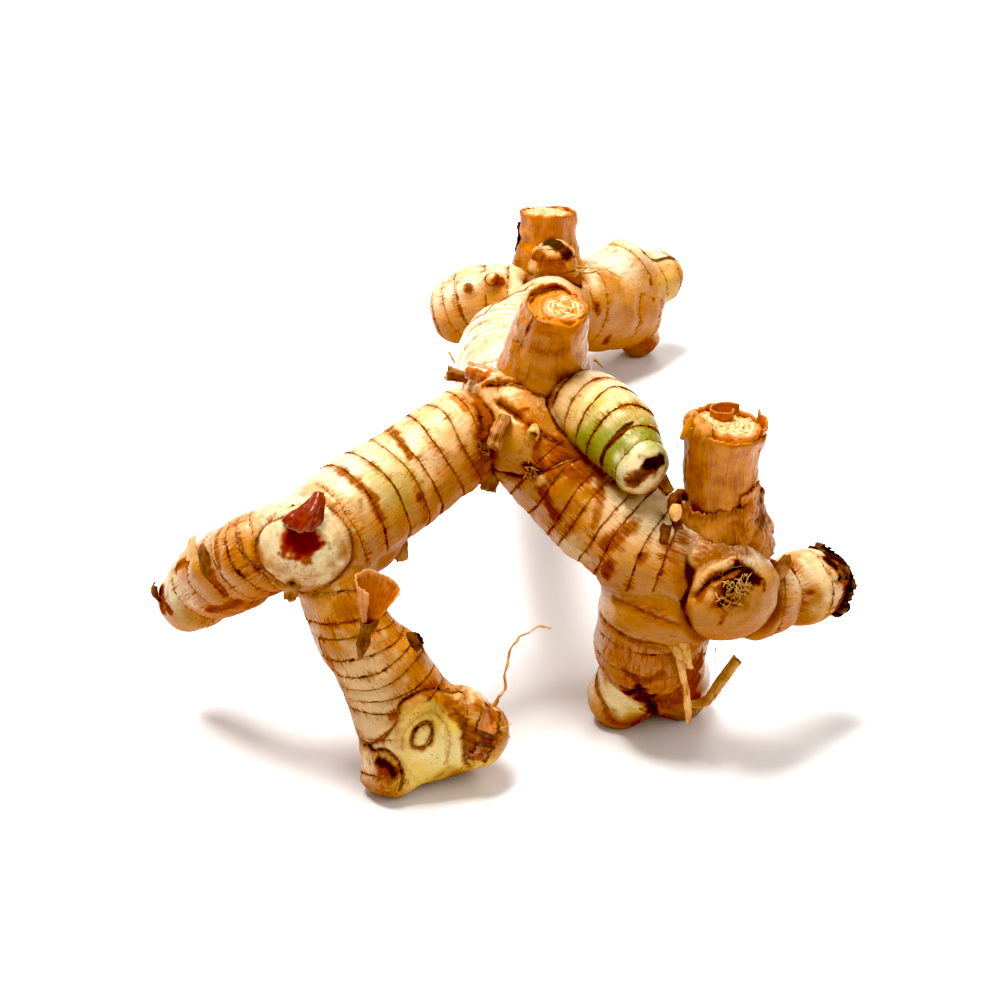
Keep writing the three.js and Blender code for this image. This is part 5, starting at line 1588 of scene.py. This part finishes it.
# root stubs: stations, slot, look, flatness and the depth of a hollow end
stubs = {
    "root_woody": ([(1.7, -132, 100.2, 1.9), (-0.4, -136, 97.2, 2.3), (-1.8, -138.8, 93.8, 2.2)],
                   "root_brown", "root_brown", 1.0, 1.2),
    "root_cone": ([(9.9, -131.5, 97.6, 1.1), (9.4, -136, 96.4, 1.9)], "root_pale", "root_pale", 1.0, 1.0),
    "root_square": ([(-1.5, -126, 82, 2.6), (-3.5, -129.5, 75, 2.4)], "root_brown", "root_brown", 0.8, 0.0),
    "root_ball": ([(-10, -104, 99, 1.6), (-13, -104.3, 100, 1.9), (-15.5, -104.5, 100.8, 2.3)],
                  "root_brown", "root_brown", 1.0, 0.5),
    "root_ring": ([(-0.6, -113, 101.6, 4.3), (-3.6, -112, 102.9, 3.6), (-6.6, -111, 103.9, 2.9),
                   (-9.5, -110, 104.6, 2.4)], "root_pale", "amber_scale", 1.0, 1.2),
    "root_arm": ([(-29, -141, 68, 2.4), (-28.6, -140.5, 58.5, 2.1)], "root_brown", "root_brown", 1.0, 0.8),
    "root_green": ([(44, -144, 89, 2.4), (47.6, -148, 84.5, 1.8)], "root_brown", "root_brown", 0.7, 0.0),
    "root_hollow": ([(-57, -163, 66.5, 1.9), (-58.6, -168.6, 62, 1.9)], "root_brown", "root_brown", 1.0, 1.5),
    "root_leg": ([(-30, -165, 44, 2.6), (-24.4, -166.4, 46.4, 3.0), (-22.6, -166.6, 47.4, 2.4)],
                 "root_brown", "burnt_scale", 0.8, 0.3),
    "root_stick": ([(55, -147, 12, 1.2), (61, -148, 13.5, 1.5), (65, -148, 20, 1.7), (69.8, -148, 28.5, 1.7)],
                   "root_pale", "root_pale", 0.7, 0.3),
}
for number, (name, (stations, slot, look, flat, hollow)) in enumerate(stubs.items()):
    flute = 0.14 if name == "root_woody" else 0.05
    tubePiece(name + "_stub", stations, slot, look, 20, flute, flat, number + 3, name, hollow)

rootlet = Hairs()
rootlet.add([(-4, -164, 18), (-1.2, -164.5, 24.5), (1.1, -165, 28.8), (1.8, -165, 35), (2.6, -165, 41),
             (4, -165, 45.2), (7.6, -165, 48.8), (10.8, -165, 50.1), (14.4, -165, 49.8)], 0.55, 0.5, 8, 0.25, 3)
rootlet.finish("rootlet", "root_pale", "rootlet_long")

# flat dried roots over the right foot
leaf("flat_root", [
    [(49.2, -161.2, 42.4), (50.2, -162, 42), (51.2, -161.6, 41.6)],
    [(50.4, -163.2, 38.4), (51.2, -163.8, 38), (52, -163.2, 37.6)],
    [(52, -162.9, 31.2), (53, -163.2, 31), (53.9, -162.6, 30.8)],
    [(53.6, -159.9, 21.2), (54.6, -160.2, 21), (55.4, -159.5, 20.8)],
    [(54.8, -155.8, 11.6), (55.6, -155.9, 11.2), (56.3, -155.4, 11.2)],
], (9, 50), "root_pale", "root_pale", 0.6, 0.3, 61, None, "root_strip")
leaf("knotted_root_0", [
    [(47, -159.4, 47.4), (49, -161, 47.6), (51, -160.6, 47)],
    [(48, -162, 43.2), (50.4, -163.2, 43.4), (52.2, -162.2, 43)],
    [(50, -163, 39.2), (51.4, -164.2, 39), (52.8, -163.4, 39)],
], (14, 26), "root_pale", "root_pale", 0.6, 0.5, 62)
leaf("knotted_root_1", [
    [(50.4, -160.8, 47.8), (51.8, -161.4, 47.2), (53, -160.8, 46.6)],
    [(51.2, -162.8, 43.6), (52.6, -163.4, 43), (53.8, -162.6, 42.6)],
    [(52.4, -162.8, 38.8), (53.4, -163.2, 38.4), (54.4, -162.4, 38.2)],
    [(54.4, -161.2, 34.4), (55, -161.4, 34), (55.6, -160.9, 33.8)],
], (14, 26), "root_pale", "root_pale", 0.6, 0.5, 63)

# single fibres: route, radius, tip, sides, wander and seed
fibres = Hairs()
for route, *form in (
    ([(9.7, -110, 132), (0, -108, 125.2), (-10.2, -104, 116.1)], 0.28, 0.4, 6, 0.25, 11),
    ([(27.6, -112, 108.8), (29.9, -114, 107.1)], 0.5, 0.3, 6),
    ([(-15.3, -92, 101.8), (-13.5, -95, 99.5)], 0.45, 0.4, 6),
    ([(40, -143, 104), (45.1, -146, 104.1), (48.9, -148, 101.1), (51.8, -148, 91.6)], 0.16, 0.6, 5, 0.3, 12),
    ([(28.6, 84, 53.5), (37.9, 80, 55.6), (46.9, 78, 52.4)], 0.4, 0.5, 6, 0.3, 13),
    ([(30.4, 84, 52.4), (37, 81, 54.2), (43.5, 80, 57.3)], 0.35, 0.5, 6, 0.3, 14),
    ([(28.2, 84.5, 55.5), (34, 82, 54), (39, 81, 53.4)], 0.3, 0.5, 6, 0.3, 15),
    ([(61.2, -160.5, 41), (61.8, -160, 37.1), (62.7, -160, 29.2)], 0.2, 0.4, 5, 0.2, 16),
    ([(71, -150.5, 84.5), (71.4, -150, 87.9), (71.9, -150, 92.7)], 0.3, 0.4, 6, 0.1, 17),
    ([(-2.4, -171.6, 19), (0, -171.4, 20.2), (3.4, -172, 22.4)], 0.35, 0.4, 6, 0.1, 18),
    ([(-0.2, -171.4, 19.8), (2, -171, 18.6), (2.8, -170.5, 16.2)], 0.25, 0.4, 6, 0.1, 19),
):
    fibres.add(route, *form)
# tufts: centre, way out, number, length, radius, spread and lean
for form in (
    ((65.5, -165.6, 61.4), (0.2, -0.9, 0.35), 64, 3.0, 0.28, 4.2, 0.9),
    ((69.0, -163.4, 64.0), (0.2, -0.8, 0.5), 30, 2.8, 0.22, 3.0, 0.9),
    ((43, -155.5, 36.5), (0, -1, 0.1), 24, 5.5, 0.2, 8.0, 1.4),
    ((-86, -147.5, 40.5), (0.0, -0.3, -1), 12, 2.6, 0.16, 6.0, 0.7),
    ((-78, -153.5, 52.0), (0.1, -0.4, -1), 8, 2.4, 0.16, 4.0, 0.7),
    ((33.0, -142.0, 2.0), (-0.3, -0.6, 0.2), 12, 2.6, 0.16, 2.5, 1.2),
):
    fibres.tuft(*form)
fibres.finish("root_fibres", "root_pale")
worn = Hairs()
for place, way, spread in (((-4.8, -135.2, 91.5), (0.2, -0.9, 0.2), 2.2), ((9.5, -140.0, 86.5), (0, -0.9, 0.2), 3.0),
                           ((18.5, -146.0, 72.0), (-0.4, -0.8, -0.1), 3.0)):
    worn.tuft(place, way, 34, 2.6, 0.22, spread, 1.3)
worn.finish("scar_hairs", "root_brown")
print("roots done")
